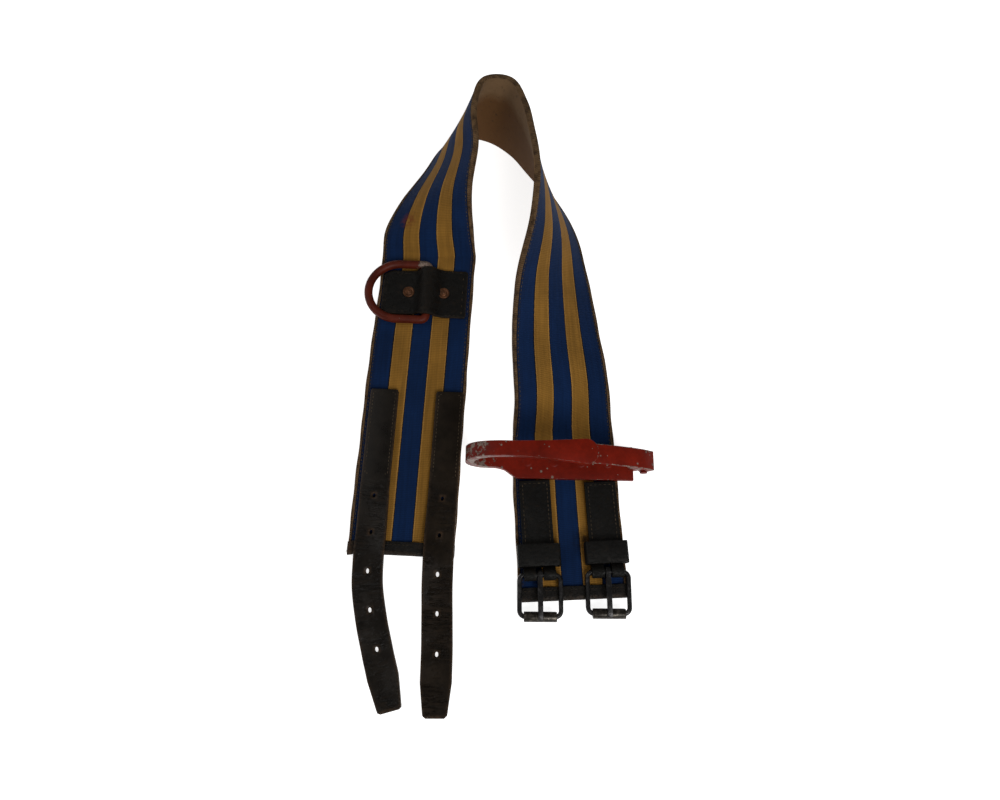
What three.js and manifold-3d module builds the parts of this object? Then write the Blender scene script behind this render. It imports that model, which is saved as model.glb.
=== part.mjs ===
// Vintage climbing belt: a striped webbing waist belt with a red ring, a red snap hook,
// two buckles and two straps, laid down in a bent U.  Millimetres, +Z up, resting on z = 0.
// The open end of the U, with the straps and buckles, points to -Y.

import * as THREE from 'three';
import { mergeVertices } from 'three/addons/utils/BufferGeometryUtils.js';
import Module from 'manifold-3d';

const wasm = await Module();
wasm.setup();

// ---- driving dimensions ------------------------------------------------------------------

const clearance = 0.3;            // air left between two pieces that touch
const cutPast = 1;                // how far a cutting shape runs past the face it cuts

const beltWidth = 85;
const beltScale = 1;              // 1 lays the belt 0.90 m long; more lengthens its two arms
const webbingThickness = 2.6;
const liningThickness = 2.2;
const bindingThickness = 1.3;
const bindingLength = 9;

const strapWidth = 24;
const strapThickness = 3;
const strapHoleDiameter = 4;
const strapHolePitch = 30;
const strapHoleCount = 5;
const strapSewnLength = 77;
const strapSewnStart = 60;        // distance from the belt's end to the end of the sewing
const strapFirstHole = 15;        // from the end of the sewing to the first hole
const strapTipWidth = 18;         // each strap narrows to this at its tip
const strapTaper = 25;            // length over which it narrows
const strapCorner = 2;
const strapOffsets = { left: -0.3 * beltWidth, right: 0.3565 * beltWidth };

const ringWire = 7.4;
const ringWidth = 61.5;           // along the belt, over the wire
const ringReach = 60.2;           // across the belt, over the wire
const ringCorner = 4.5;           // bend at each end of the ring's bar
const ringFromEnd = 229.8 * beltScale; // distance from the belt's end to the ring's middle
const ringBarOffset = 3.5;        // from the belt's middle line to the ring's bar
const patchThickness = 2.8;
const patchNarrowReach = 40.5;    // leather on the ring's side of the bar
const patchWideReach = 35;        // leather on the other side of the bar
const patchWideWidth = 48;
const patchRoomInRing = 1.8;      // air between the narrow leather and the ring's sides
const patchRivetOuter = 17;       // from the ring's bar to the rivet on the ring's side
const patchRivetInner = 14.2;     // from the ring's bar to the other rivet
const rivetHeadDiameter = 10.5;
const rivetHeadHeight = 2.2;
const rivetShankDiameter = 4;
const burrDiameter = 9;
const burrThickness = 0.9;

// Distance from the belt's end to the hook's middle line, kept on the flat part of the arm.
const hookFromEnd = 144 * beltScale - 0.208 * beltWidth - 18.5;
const hookOffset = 2.5;           // from the belt's middle line to the base's reference point
const hookTurn = -3.8;            // degrees the hook is turned on the belt
const hookBaseWidth = 28;
const hookBaseThickness = 4;
const hookBaseLeft = -40;         // where the base starts to narrow into the neck
const hookBaseRight = 54;
const hookHeight = 43;            // middle of the arm above the underside of the base
const hookNoseWidth = 20;
const hookNosePlace = 11.5;       // across the belt, from the hook's middle
const hookNoseTilt = 4;           // degrees the nose dips
const hookArmThickness = 5;
const hookRivetDiameter = 9;
const hookRivetHeight = 0.9;
const hookRivetPlaces = [-33, -11, 11, 33];
const backPlateMargin = 6;        // steel past the outermost rivets
const backPlateInset = 3;         // steel short of each long edge of the base
const backPlateThickness = 0.9;
const gateWidth = 16;
const gateThickness = 2.4;
const gatePinDiameter = 3.6;
const gatePinHeadDiameter = 6;
const gatePinHeadLength = 1.4;
const gatePinPlace = [61, 11];    // across the belt and above the base's underside
const lugRadius = 4.6;
const lugWidth = 11;
const lugLength = 12;             // of its foot on the base
const springWire = 0.9;
const springTurns = 3;
const cheekRadius = 4.2;          // of the gate's cheeks round the pin

const chapeWidth = 25;
const chapeLayer = 2.4;
const chapeBelowHook = 0.8;       // from the hook's base down to the top of each chape
const chapeOffsets = { left: -0.301 * beltWidth, right: 0.325 * beltWidth };
const chapeBevel = 0.8;
const heelBarFromEnd = 18.3;
const keeperWidth = 34;
const keeperLength = 17;
const keeperThickness = 1.6;
const keeperFromEnd = 33;
const keeperRoom = 4.6;           // room over the chape for a strap
const buckleWidth = 36;
const buckleLength = 31.6;        // from the heel bar's axis to the roller's axis
const buckleWire = 3.8;
const buckleCorner = 4;
const buckleTilt = 3;             // degrees the buckle droops onto the belt's end
const buckleTurn = -3;            // degrees it is turned sideways in its chape
const rollerDiameter = 8;
const prongWidth = 4;
const prongThickness = 3;
const prongEyeWall = 1.7;         // metal round the heel bar

// ---- values that follow from them --------------------------------------------------------

const liningTop = liningThickness;
const webbingBottom = liningTop + clearance;
const beltTop = webbingBottom + webbingThickness;
const onBelt = beltTop + clearance;
const plateFloor = liningTop - backPlateThickness - clearance;
const bindingTop = beltTop + clearance + bindingThickness;

const round = 20;                 // sides of a round part
const colours = {
  webbing: [0x14284a, 0.9, 0],
  lining: [0x6b4d2e, 0.9, 0],
  leather: [0x1c1713, 0.55, 0],
  strap: [0x211a15, 0.45, 0],
  redPaint: [0x6b1a0e, 0.5, 0.2],
  steel: [0x4a4744, 0.4, 0.9],
  copper: [0x70482c, 0.45, 0.9],
  iron: [0x2c2a29, 0.5, 0.8],
};

// ---- small helpers -----------------------------------------------------------------------

function toSolid(geometry) {
  const plain = geometry.clone();
  plain.deleteAttribute('normal');
  plain.deleteAttribute('uv');
  const merged = mergeVertices(plain, 1e-4);
  const vertProperties = new Float32Array(merged.attributes.position.array);
  const triVerts = new Uint32Array(merged.index.array);
  return new wasm.Manifold(new wasm.Mesh({ numProp: 3, vertProperties, triVerts }));
}

function fromSolid(solid) {
  const mesh = solid.getMesh();
  const geometry = new THREE.BufferGeometry();
  geometry.setAttribute('position', new THREE.BufferAttribute(new Float32Array(mesh.vertProperties), 3));
  geometry.setIndex(new THREE.BufferAttribute(new Uint32Array(mesh.triVerts), 1));
  return geometry;
}

function join(...geometries) {
  return fromSolid(geometries.map(toSolid).reduce((sum, next) => sum.add(next)));
}

function cut(geometry, ...tools) {
  return fromSolid(tools.map(toSolid).reduce((rest, tool) => rest.subtract(tool), toSolid(geometry)));
}

function box(x, y, z, centreX, centreY, centreZ) {
  return new THREE.BoxGeometry(x, y, z).translate(centreX, centreY, centreZ);
}

// A straight round bar along one axis, its middle at the given place.
function bar(diameter, length, axis, place, sides = round) {
  const geometry = new THREE.CylinderGeometry(diameter / 2, diameter / 2, length, sides);
  if (axis === 'x') geometry.rotateZ(Math.PI / 2);
  if (axis === 'z') geometry.rotateX(Math.PI / 2);
  return geometry.translate(...place);
}

// A flat outline in (x, z) made as thick as given along y, its middle on y = 0.
function sideProfile(shape, thickness, curveSegments = 8) {
  const geometry = new THREE.ExtrudeGeometry(shape, { depth: thickness, bevelEnabled: false, curveSegments });
  return geometry.rotateX(Math.PI / 2).translate(0, thickness / 2, 0);
}

// A flat outline in (y, z) made as thick as given along x, its middle on x = 0.
function endProfile(shape, thickness, curveSegments = 8) {
  const geometry = new THREE.ExtrudeGeometry(shape, { depth: thickness, bevelEnabled: false, curveSegments });
  return geometry.rotateX(Math.PI / 2).rotateZ(Math.PI / 2).translate(-thickness / 2, 0, 0);
}

// A flat outline in (x, y) standing from one height up to another.
function plate(shape, bottom, top, curveSegments = 6) {
  const options = { depth: top - bottom, bevelEnabled: false, curveSegments };
  return new THREE.ExtrudeGeometry(shape, options).translate(0, 0, bottom);
}

function roundedRectangle(left, right, low, high, corner) {
  const shape = new THREE.Shape();
  shape.moveTo(left + corner, low);
  shape.lineTo(right - corner, low);
  shape.absarc(right - corner, low + corner, corner, -Math.PI / 2, 0);
  shape.lineTo(right, high - corner);
  shape.absarc(right - corner, high - corner, corner, 0, Math.PI / 2);
  shape.lineTo(left + corner, high);
  shape.absarc(left + corner, high - corner, corner, Math.PI / 2, Math.PI);
  shape.lineTo(left, low + corner);
  shape.absarc(left + corner, low + corner, corner, Math.PI, 1.5 * Math.PI);
  return shape;
}

// A closed slab bent into shape: place(along, across, height) gives each point of it.
// along and across run 0 to 1 and height is low or high.  Both faces split their squares the
// same way, so slabs that follow the same shape never cross.
function bentSlab(place, alongSteps, acrossSteps, low, high) {
  const position = [];
  for (let i = 0; i <= alongSteps; i += 1) {
    for (let j = 0; j <= acrossSteps; j += 1) {
      position.push(...place(i / alongSteps, j / acrossSteps, high).toArray());
      position.push(...place(i / alongSteps, j / acrossSteps, low).toArray());
    }
  }
  const at = (i, j, under) => 2 * (i * (acrossSteps + 1) + j) + (under ? 1 : 0);
  const index = [];
  const square = (a, b, c, d) => index.push(a, b, c, a, c, d);
  for (let i = 0; i < alongSteps; i += 1) {
    for (let j = 0; j < acrossSteps; j += 1) {
      square(at(i, j), at(i, j + 1), at(i + 1, j + 1), at(i + 1, j));
      square(at(i + 1, j + 1, true), at(i, j + 1, true), at(i, j, true), at(i + 1, j, true));
    }
    const last = acrossSteps;
    square(at(i, 0), at(i + 1, 0), at(i + 1, 0, true), at(i, 0, true));
    square(at(i, last), at(i, last, true), at(i + 1, last, true), at(i + 1, last));
  }
  for (let j = 0; j < acrossSteps; j += 1) {
    const last = alongSteps;
    square(at(0, j), at(0, j, true), at(0, j + 1, true), at(0, j + 1));
    square(at(last, j), at(last, j + 1), at(last, j + 1, true), at(last, j, true));
  }
  const geometry = new THREE.BufferGeometry();
  geometry.setAttribute('position', new THREE.Float32BufferAttribute(position, 3));
  geometry.setIndex(index);
  return geometry;
}

function piece(name, geometry, [colour, roughness, metalness]) {
  const plain = geometry.clone();
  plain.deleteAttribute('normal');
  plain.deleteAttribute('uv');
  const merged = mergeVertices(plain, 1e-4);
  merged.computeVertexNormals();
  const material = new THREE.MeshStandardMaterial({ color: colour, roughness, metalness });
  const mesh = new THREE.Mesh(merged, material);
  mesh.name = name;
  return mesh;
}

function group(name, ...children) {
  const made = new THREE.Group();
  made.name = name;
  made.add(...children);
  return made;
}

// ---- how the belt lies -------------------------------------------------------------------

// Each station: a point of the outer edge on the ground, the plan direction in degrees from
// there to the inner edge, and how many degrees the band is lifted off the ground there.
const layStations = [
  [-123.2, -136.4, -3, 0],
  [-119, -50, -3, 0],
  [-114, 44, -3, 0],
  [-110, 92, 8, 0],
  [-108.8, 124, 5, 0],
  [-105.7, 156.3, -7.2, 17.8],
  [-91.3, 187.8, -15, 36.9],
  [-70.6, 219.5, -15.4, 51.7],
  [-54.8, 246, -16.2, 65.6],
  [-35.5, 261.8, -8.6, 74.5],
  [-13.9, 258.7, -1.9, 76.2],
  [8, 243.3, -44.1, 81.5],
  [23.7, 222.7, -95.9, 80.8],
  [44.8, 192.5, -133.3, 72.1],
  [64.5, 153.1, -151.8, 56.7],
  [75.1, 105.5, -162, 38.6],
  [83.2, 56.9, -164.4, 23.8],
  [90, 12, -163, 12],
  [92.5, -26, -168, 0],
  [94.5, -80, -174, 0],
  [98.6, -170, -176, 0],
];

function radians(degrees) {
  return degrees * Math.PI / 180;
}

// The stations are drawn for this width; a wider belt spreads its arms by what it gains.
const stationWidth = 85;
const stationHalfSpan = 105;
const spread = 1 + (beltWidth - stationWidth) / stationHalfSpan;

function outerPoint([x, y]) {
  return new THREE.Vector3(x * spread, y * beltScale, 0);
}

function innerPoint(station) {
  const [swing, lift] = station.slice(2).map(radians);
  const flat = beltWidth * Math.cos(lift);
  const reach = [flat * Math.cos(swing), flat * Math.sin(swing), beltWidth * Math.sin(lift)];
  return outerPoint(station).add(new THREE.Vector3(...reach));
}

const outerEdge = new THREE.CatmullRomCurve3(layStations.map(outerPoint));
const innerEdge = new THREE.CatmullRomCurve3(layStations.map(innerPoint));
outerEdge.arcLengthDivisions = 800;
const outerLength = outerEdge.getLength();
const bandSteps = 84;
const bandAcross = 5;

// The belt's own coordinates: along 0 to 1, across 0 (outer edge) to 1, height over the lining.
function onBand(along, across, height) {
  const t = outerEdge.getUtoTmapping(along);
  const outer = outerEdge.getPoint(t);
  const inner = innerEdge.getPoint(t);
  inner.z = Math.max(inner.z, 0);
  const ahead = outerEdge.getTangent(t).lerp(innerEdge.getTangent(t), across);
  const over = new THREE.Vector3().subVectors(inner, outer);
  const normal = new THREE.Vector3().crossVectors(over, ahead).normalize();
  if (inner.z < 0.4) normal.set(0, 0, 1);
  const point = outer.lerp(inner, across).addScaledVector(normal, height);
  point.z = Math.max(point.z, 0);
  return point;
}

// The flat frame at one end of the band: origin in the middle of the end, +y along the belt.
function endFrame(atStart) {
  const near = onBand(atStart ? 0 : 1, 0.5, 0);
  const far = onBand(atStart ? 0.1 : 0.9, 0.5, 0);
  const heading = Math.atan2(far.y - near.y, far.x - near.x) - Math.PI / 2;
  return { x: near.x, y: near.y, heading };
}

function placed(frame, made) {
  made.position.set(frame.x, frame.y, 0);
  made.rotation.z = frame.heading;
  return made;
}

function toWorld(frame, geometry) {
  return geometry.rotateZ(frame.heading).translate(frame.x, frame.y, 0);
}

const leftFrame = endFrame(true);
const rightFrame = endFrame(false);

// ---- the hook's own frame, set on the right arm ------------------------------------------

function hookPlace(geometry) {
  return geometry.rotateZ(radians(hookTurn)).translate(hookOffset, hookFromEnd, 0);
}

// ---- band ------------------------------------------------------------------------------

// A layer of the band that stops short of both ends by the same distance.  Every layer is
// split at the same places, so that layers lie flat on each other round the bend.
function bandLayer(low, high, shortBy) {
  const start = shortBy / outerLength;
  const between = Array.from({ length: bandSteps - 1 }, (_, i) => (i + 1) / bandSteps)
    .filter((along) => along > start * 1.1 && along < 1 - start * 1.1);
  const stations = [start, ...between, 1 - start];
  const steps = stations.length - 1;
  const place = (share, across, height) => onBand(stations[Math.round(share * steps)], across, height);
  return bentSlab(place, steps, bandAcross, low, high);
}

function rivetHoleTools(places, bottom, top) {
  const height = top - bottom + 2 * cutPast;
  const hole = rivetShankDiameter + 2 * clearance;
  return places.map(([x, y]) => bar(hole, height, 'z', [x, y, (top + bottom) / 2], 12));
}

const patchRivetPlaces = [
  [ringBarOffset - patchRivetOuter, ringFromEnd],
  [ringBarOffset + patchRivetInner, ringFromEnd],
];

function hookRivetPoints() {
  return hookRivetPlaces.map((u) => {
    const turned = new THREE.Vector2(u, 0).rotateAround(new THREE.Vector2(), radians(hookTurn));
    return [turned.x + hookOffset, turned.y + hookFromEnd];
  });
}

function webbing() {
  const slab = bandLayer(webbingBottom, beltTop, 0);
  const left = rivetHoleTools(patchRivetPlaces, webbingBottom, beltTop);
  const right = rivetHoleTools(hookRivetPoints(), webbingBottom, beltTop);
  return cut(slab, ...left.map((g) => toWorld(leftFrame, g)), ...right.map((g) => toWorld(rightFrame, g)));
}

function backPlateSize(extra) {
  const length = hookRivetPlaces.at(-1) - hookRivetPlaces[0] + 2 * backPlateMargin + 2 * extra;
  return [length, hookBaseWidth - 2 * backPlateInset + 2 * extra];
}

function pocketTools() {
  const depth = liningTop - plateFloor + cutPast;
  const level = plateFloor + depth / 2;
  const [length, width] = backPlateSize(clearance);
  const plateTool = hookPlace(box(length, width, depth, 0, 0, level));
  const burrTools = patchRivetPlaces.map(([x, y]) => (
    toWorld(leftFrame, bar(burrDiameter + 2 * clearance, depth, 'z', [x, y, level]))));
  return [toWorld(rightFrame, plateTool), ...burrTools];
}

// The lining ends where the leather bindings fold under the webbing.
function lining() {
  return cut(bandLayer(0, liningTop, bindingLength + clearance), ...pocketTools());
}

// Leather folded over the end of the webbing.  Its section runs from the edge below the belt
// round the end to the edge above it; each place gives the outer and the inner face.
function binding(atStart) {
  const outside = -clearance - bindingThickness;
  const over = beltTop + clearance;
  const section = [
    [[bindingLength, 0], [bindingLength, liningTop]],
    [[0, 0], [0, liningTop]],
    [[outside, 0], [-clearance, liningTop]],
    [[outside, bindingTop], [-clearance, over]],
    [[0, bindingTop], [0, over]],
    [[bindingLength, bindingTop], [bindingLength, over]],
  ];
  const steps = section.length - 1;
  const [outerFace, innerFace] = [0, 1];
  const place = (share, across, face) => {
    const [distance, height] = section[Math.round(share * steps)][face];
    const along = Math.max(distance, 0) / outerLength;
    const point = onBand(atStart ? along : 1 - along, atStart ? across : 1 - across, height);
    const outward = outerEdge.getTangent(atStart ? 0 : 1).multiplyScalar(Math.min(distance, 0));
    return point.addScaledVector(outward, atStart ? 1 : -1);
  };
  return bentSlab(place, steps, bandAcross, innerFace, outerFace);
}

// ---- straps ------------------------------------------------------------------------------

// The middle line of each strap below its sewing: sideways from the sewn line, distance from
// the belt's end, and the height of the strap's underside.
const overBinding = bindingTop + clearance;
const strapLines = {
  left: [
    [0, strapSewnStart, onBelt],
    [0, strapSewnStart - 8, onBelt],
    [0.4, 40, onBelt + 0.2],
    [1, 16, overBinding + 0.3],
    [1, -4, overBinding + 0.3],
    [2, -26, overBinding - 3],
    [7, -50, 1.5],
    [14, -74, 0],
    [22, -98, 0.6],
    [28, -117, 1.5],
  ],
  right: [
    [0, strapSewnStart, onBelt],
    [0, strapSewnStart - 8, onBelt],
    [0, 40, onBelt + 0.2],
    [0, 16, overBinding + 0.3],
    [0.5, -4, overBinding + 0.3],
    [1, -26, overBinding - 3],
    [2.5, -50, 1.5],
    [4, -74, 0],
    [5, -98, 0],
    [6, -120, 0.6],
  ],
};

function strapCurve(side) {
  const points = strapLines[side].map(([x, y, z]) => new THREE.Vector3(x + strapOffsets[side], y, z));
  return new THREE.CatmullRomCurve3(points);
}

// Half the strap's width at a distance from its tip.
function strapTip(distance) {
  const share = Math.min(distance / strapTaper, 1);
  const half = (strapTipWidth + (strapWidth - strapTipWidth) * share) / 2;
  if (distance >= strapCorner) return half;
  return half - strapCorner + Math.sqrt(strapCorner ** 2 - (strapCorner - distance) ** 2);
}

function freeStrap(side) {
  const curve = strapCurve(side);
  const length = curve.getLength();
  const place = (along, across, height) => {
    const fromSewing = clearance / length + along * (1 - clearance / length);
    const point = curve.getPointAt(fromSewing);
    const ahead = curve.getTangentAt(fromSewing);
    const sideways = new THREE.Vector3(ahead.y, -ahead.x, 0).normalize();
    const normal = new THREE.Vector3().crossVectors(sideways, ahead).normalize();
    const half = strapTip((1 - along) * length);
    point.addScaledVector(sideways, (1 - 2 * across) * -half).addScaledVector(normal, height);
    point.z = Math.max(point.z, height > 0 ? height : 0);
    return point;
  };
  const strap = bentSlab(place, 40, 2, 0, strapThickness);
  return cut(strap, ...strapHoleTools(curve, length));
}

function strapHoleTools(curve, length) {
  const tools = [];
  for (let i = 0; i < strapHoleCount; i += 1) {
    const at = curve.getPointAt((strapFirstHole + i * strapHolePitch) / length);
    const height = strapThickness * 6;
    tools.push(bar(strapHoleDiameter, height, 'z', [at.x, at.y, at.z], 16));
  }
  return tools;
}

function sewnStrap(side) {
  const middle = strapOffsets[side];
  const outline = new THREE.Shape();
  const left = middle - strapWidth / 2;
  const right = middle + strapWidth / 2;
  const top = strapSewnStart + strapSewnLength;
  outline.moveTo(left, strapSewnStart);
  outline.lineTo(right, strapSewnStart);
  outline.lineTo(right, top - strapCorner);
  outline.lineTo(right - strapCorner, top);
  outline.lineTo(left + strapCorner, top);
  outline.lineTo(left, top - strapCorner);
  return plate(outline, onBelt, onBelt + strapThickness);
}

// ---- ring and its leather ----------------------------------------------------------------

const ringBarHeight = onBelt + ringWire / 2;

function arcPoints(centreX, centreY, radius, from, to, steps) {
  return Array.from({ length: steps + 1 }, (_, i) => {
    const angle = radians(from + ((to - from) * i) / steps);
    return new THREE.Vector3(centreX + radius * Math.cos(angle), centreY + radius * Math.sin(angle), 0);
  });
}

// A straight bar, two tight corners and a half round.
function ring() {
  const half = (ringWidth - ringWire) / 2;
  const bow = ringReach - ringWire - half;
  const points = [
    ...arcPoints(-ringCorner, half - ringCorner, ringCorner, 0, 90, 5),
    ...arcPoints(-bow, 0, half, 90, 270, 20),
    ...arcPoints(-ringCorner, ringCorner - half, ringCorner, 270, 360, 5),
  ];
  return sweptLoop(points, ringWire / 2, 10).translate(ringBarOffset, ringFromEnd, ringBarHeight);
}

// Leather laid over the ring's bar and fastened on both sides of it.
function patchOutline() {
  const inner = ringWire / 2 + clearance;
  const outer = inner + patchThickness;
  const low = onBelt;
  const foot = inner * 1.45;
  const shape = new THREE.Shape();
  shape.moveTo(-patchNarrowReach, low);
  shape.lineTo(-foot, low);
  shape.quadraticCurveTo(-inner * 1.15, low, -inner * 0.98, low + inner * 0.9);
  shape.absarc(0, ringBarHeight, inner, Math.PI, 0, true);
  shape.quadraticCurveTo(inner * 1.15, low, foot, low);
  shape.lineTo(patchWideReach, low);
  shape.lineTo(patchWideReach, low + patchThickness);
  shape.lineTo(foot + 2, low + patchThickness);
  shape.quadraticCurveTo(outer * 1.05, low + patchThickness, outer * 0.95, ringBarHeight);
  shape.absarc(0, ringBarHeight, outer, 0.25, Math.PI - 0.25, false);
  shape.quadraticCurveTo(-outer * 1.05, low + patchThickness, -foot - 2, low + patchThickness);
  shape.lineTo(-patchNarrowReach, low + patchThickness);
  return shape;
}

// Takes off the leather's corners that would lie under the round of the ring.
function ringBowTool() {
  const half = (ringWidth - ringWire) / 2;
  const bow = ringReach - ringWire - half;
  const room = 2 * (half - ringWire / 2 - 2 * clearance);
  const block = box(ringReach, ringWidth, 40, -bow - ringReach / 2, 0, onBelt);
  return cut(block, bar(room, 50, 'z', [-bow, 0, onBelt], 48));
}

function patch() {
  const sheet = sideProfile(patchOutline(), patchWideWidth, 10);
  const insideRing = ringWidth - 2 * ringWire - 2 * patchRoomInRing;
  const trim = (patchWideWidth - insideRing) / 2 + cutPast;
  const middle = insideRing / 2 + trim / 2;
  const past = ringWire / 2 + patchThickness + 2 * clearance;
  const reach = patchNarrowReach + cutPast + past;
  const place = (past - patchNarrowReach - cutPast) / 2;
  const tools = [1, -1].map((way) => box(reach, trim, 40, place, way * middle, onBelt));
  const holes = patchRivetPlaces.map(([x]) => (
    bar(rivetShankDiameter + 2 * clearance, 20, 'z', [x - ringBarOffset, 0, onBelt], 12)));
  return cut(sheet, ...tools, ringBowTool(), ...holes).translate(ringBarOffset, ringFromEnd, 0);
}

// A rivet: a low domed head on the leather and a shank that ends inside the belt.
function rivet(headDiameter, headHeight, underHead, shankEnd) {
  const shank = rivetShankDiameter / 2;
  const head = headDiameter / 2;
  const points = [
    new THREE.Vector2(0, shankEnd),
    new THREE.Vector2(shank, shankEnd),
    new THREE.Vector2(shank, underHead),
    new THREE.Vector2(head, underHead),
    new THREE.Vector2(head * 0.97, underHead + headHeight * 0.35),
    new THREE.Vector2(head * 0.75, underHead + headHeight * 0.78),
    new THREE.Vector2(head * 0.4, underHead + headHeight),
    new THREE.Vector2(0, underHead + headHeight),
  ];
  return new THREE.LatheGeometry(points, round).rotateX(Math.PI / 2);
}

function burr() {
  const washer = bar(burrDiameter, burrThickness, 'z', [0, 0, 0]);
  const hole = bar(rivetShankDiameter + 2 * clearance, 10, 'z', [0, 0, 0], 12);
  return cut(washer, hole).translate(0, 0, liningTop - burrThickness / 2);
}

// ---- snap hook ---------------------------------------------------------------------------

const hookUnder = onBelt;
const hookNoseRatio = 0.895;      // the nose's height as a share of the arm's

// The hook's strip: across the belt, height over the base's underside, width and thickness.
const hookStations = [
  [hookBaseRight, 2, hookBaseWidth, hookBaseThickness],
  [20, 2, hookBaseWidth, hookBaseThickness],
  [hookBaseLeft, 2, hookBaseWidth, hookBaseThickness],
  [hookBaseLeft - 6, 2.1, hookBaseWidth * 0.8, hookBaseThickness],
  [hookBaseLeft - 12, 2.4, hookBaseWidth * 0.5, 4.6],
  [hookBaseLeft - 19, 3.4, hookBaseWidth * 0.4, 5.5],
  [-70, hookHeight * 0.15, 12, 6.5],
  [-77.5, hookHeight * 0.32, 12.5, 6.8],
  [-79.5, hookHeight * 0.52, 12.5, 7],
  [-77, hookHeight * 0.72, 12.5, 6.8],
  [-69.5, hookHeight * 0.9, 12, 6.4],
  [-58, hookHeight * 0.985, 12, 5.8],
  [-44, hookHeight, 12, hookArmThickness],
  [-20, hookHeight * 0.965, 14.2, hookArmThickness],
  [0, hookHeight * 0.925, 17.4, hookArmThickness],
  [hookNosePlace, hookHeight * hookNoseRatio, hookNoseWidth, hookArmThickness],
];

function hookStrip() {
  const line = new THREE.CatmullRomCurve3(hookStations.map(([u, z]) => new THREE.Vector3(u, 0, z)));
  const size = new THREE.CatmullRomCurve3(
    hookStations.map(([, , width, thick]) => new THREE.Vector3(width, thick, 0)));
  const place = (along, across, height) => {
    const point = line.getPoint(along);
    const ahead = line.getTangent(along);
    const normal = new THREE.Vector3(-ahead.z, 0, ahead.x);
    const { x: width, y: thick } = size.getPoint(along);
    point.y = (0.5 - across) * Math.min(width, hookBaseWidth);
    return point.addScaledVector(normal, height * thick);
  };
  return bentSlab(place, 56, 1, -0.5, 0.5);
}

function lugProfile(radius) {
  const [pinX, pinZ] = gatePinPlace;
  const shape = new THREE.Shape();
  shape.moveTo(hookBaseRight - lugLength, 0);
  shape.lineTo(hookBaseRight + 2, 0);
  shape.lineTo(pinX + radius * 0.8, pinZ - radius * 0.6);
  shape.absarc(pinX, pinZ, radius, -0.64, Math.PI * 0.85, false);
  shape.lineTo(hookBaseRight - 4, hookBaseThickness);
  shape.lineTo(hookBaseRight - lugLength, hookBaseThickness);
  return shape;
}

function hookBody() {
  const nose = bar(hookNoseWidth, hookArmThickness, 'z', [0, 0, 0], 32);
  nose.rotateY(radians(hookNoseTilt)).translate(hookNosePlace, 0, hookHeight * hookNoseRatio);
  const lug = sideProfile(lugProfile(lugRadius), lugWidth, 10);
  const [pinX, pinZ] = gatePinPlace;
  const springRoom = box(lugRadius * 2 + 4, lugWidth / 2, lugRadius * 2 + 2, pinX + 2, 0, pinZ + 1);
  const pinHole = bar(gatePinDiameter + 2 * clearance, lugWidth + 2, 'y', [pinX, 0, pinZ]);
  const holes = hookRivetPlaces.map((u) => bar(rivetShankDiameter + 2 * clearance, 20, 'z', [u, 0, 2], 12));
  return cut(join(hookStrip(), nose, lug), springRoom, pinHole, ...holes).translate(0, 0, hookUnder);
}

// The gate: an arched strip whose hinge end has a cheek on each side of the lug.
function gate() {
  const [pinX, pinZ] = gatePinPlace;
  const noseUnder = hookHeight * hookNoseRatio - hookArmThickness / 2;
  const freeEnd = noseUnder - gateThickness / 2 - 2 * clearance;
  const crown = pinZ + lugRadius + gateThickness * 1.5 + clearance / 2;
  const heelX = pinX + lugRadius + gateThickness * 1.25;
  const heelZ = pinZ + gateThickness * 1.1;
  const line = new THREE.CatmullRomCurve3([
    new THREE.Vector3(hookNosePlace + 0.5, 0, freeEnd),
    new THREE.Vector3(30, 0, pinZ + (freeEnd - pinZ) * 0.84),
    new THREE.Vector3(48, 0, pinZ + (freeEnd - pinZ) * 0.58),
    new THREE.Vector3(pinX - 1, 0, crown),
    new THREE.Vector3(heelX, 0, heelZ),
  ]);
  const place = (along, across, height) => {
    const point = line.getPoint(along);
    const ahead = line.getTangent(along);
    const normal = new THREE.Vector3(-ahead.z, 0, ahead.x);
    point.y = (0.5 - across) * gateWidth;
    return point.addScaledVector(normal, height);
  };
  const strip = bentSlab(place, 24, 2, -gateThickness / 2, gateThickness / 2);
  const cheekThickness = (gateWidth - lugWidth) / 2 - clearance;
  const cheekShape = new THREE.Shape();
  cheekShape.moveTo(heelX, heelZ);
  cheekShape.lineTo(pinX - 1, crown);
  cheekShape.lineTo(49, pinZ + (freeEnd - pinZ) * 0.56);
  cheekShape.lineTo(46, pinZ + (freeEnd - pinZ) * 0.46);
  cheekShape.lineTo(pinX - cheekRadius, pinZ + 1);
  cheekShape.absarc(pinX, pinZ, cheekRadius, Math.PI * 0.95, Math.PI * 1.8, false);
  const cheeks = [1, -1].map((way) => (
    sideProfile(cheekShape, cheekThickness, 6).translate(0, way * (gateWidth - cheekThickness) / 2, 0)));
  const pinHole = bar(gatePinDiameter + 2 * clearance, gateWidth + 2, 'y', [pinX, 0, pinZ]);
  return cut(join(strip, ...cheeks), pinHole).translate(0, 0, hookUnder);
}

function gatePin() {
  const [pinX, pinZ] = gatePinPlace;
  const shank = bar(gatePinDiameter, gateWidth + 2 * clearance, 'y', [pinX, 0, pinZ]);
  const headPlace = (gateWidth + gatePinHeadLength) / 2 + clearance;
  const heads = [1, -1].map((way) => bar(gatePinHeadDiameter, gatePinHeadLength, 'y', [pinX, way * headPlace, pinZ]));
  return join(shank, ...heads).translate(0, 0, hookUnder);
}

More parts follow.
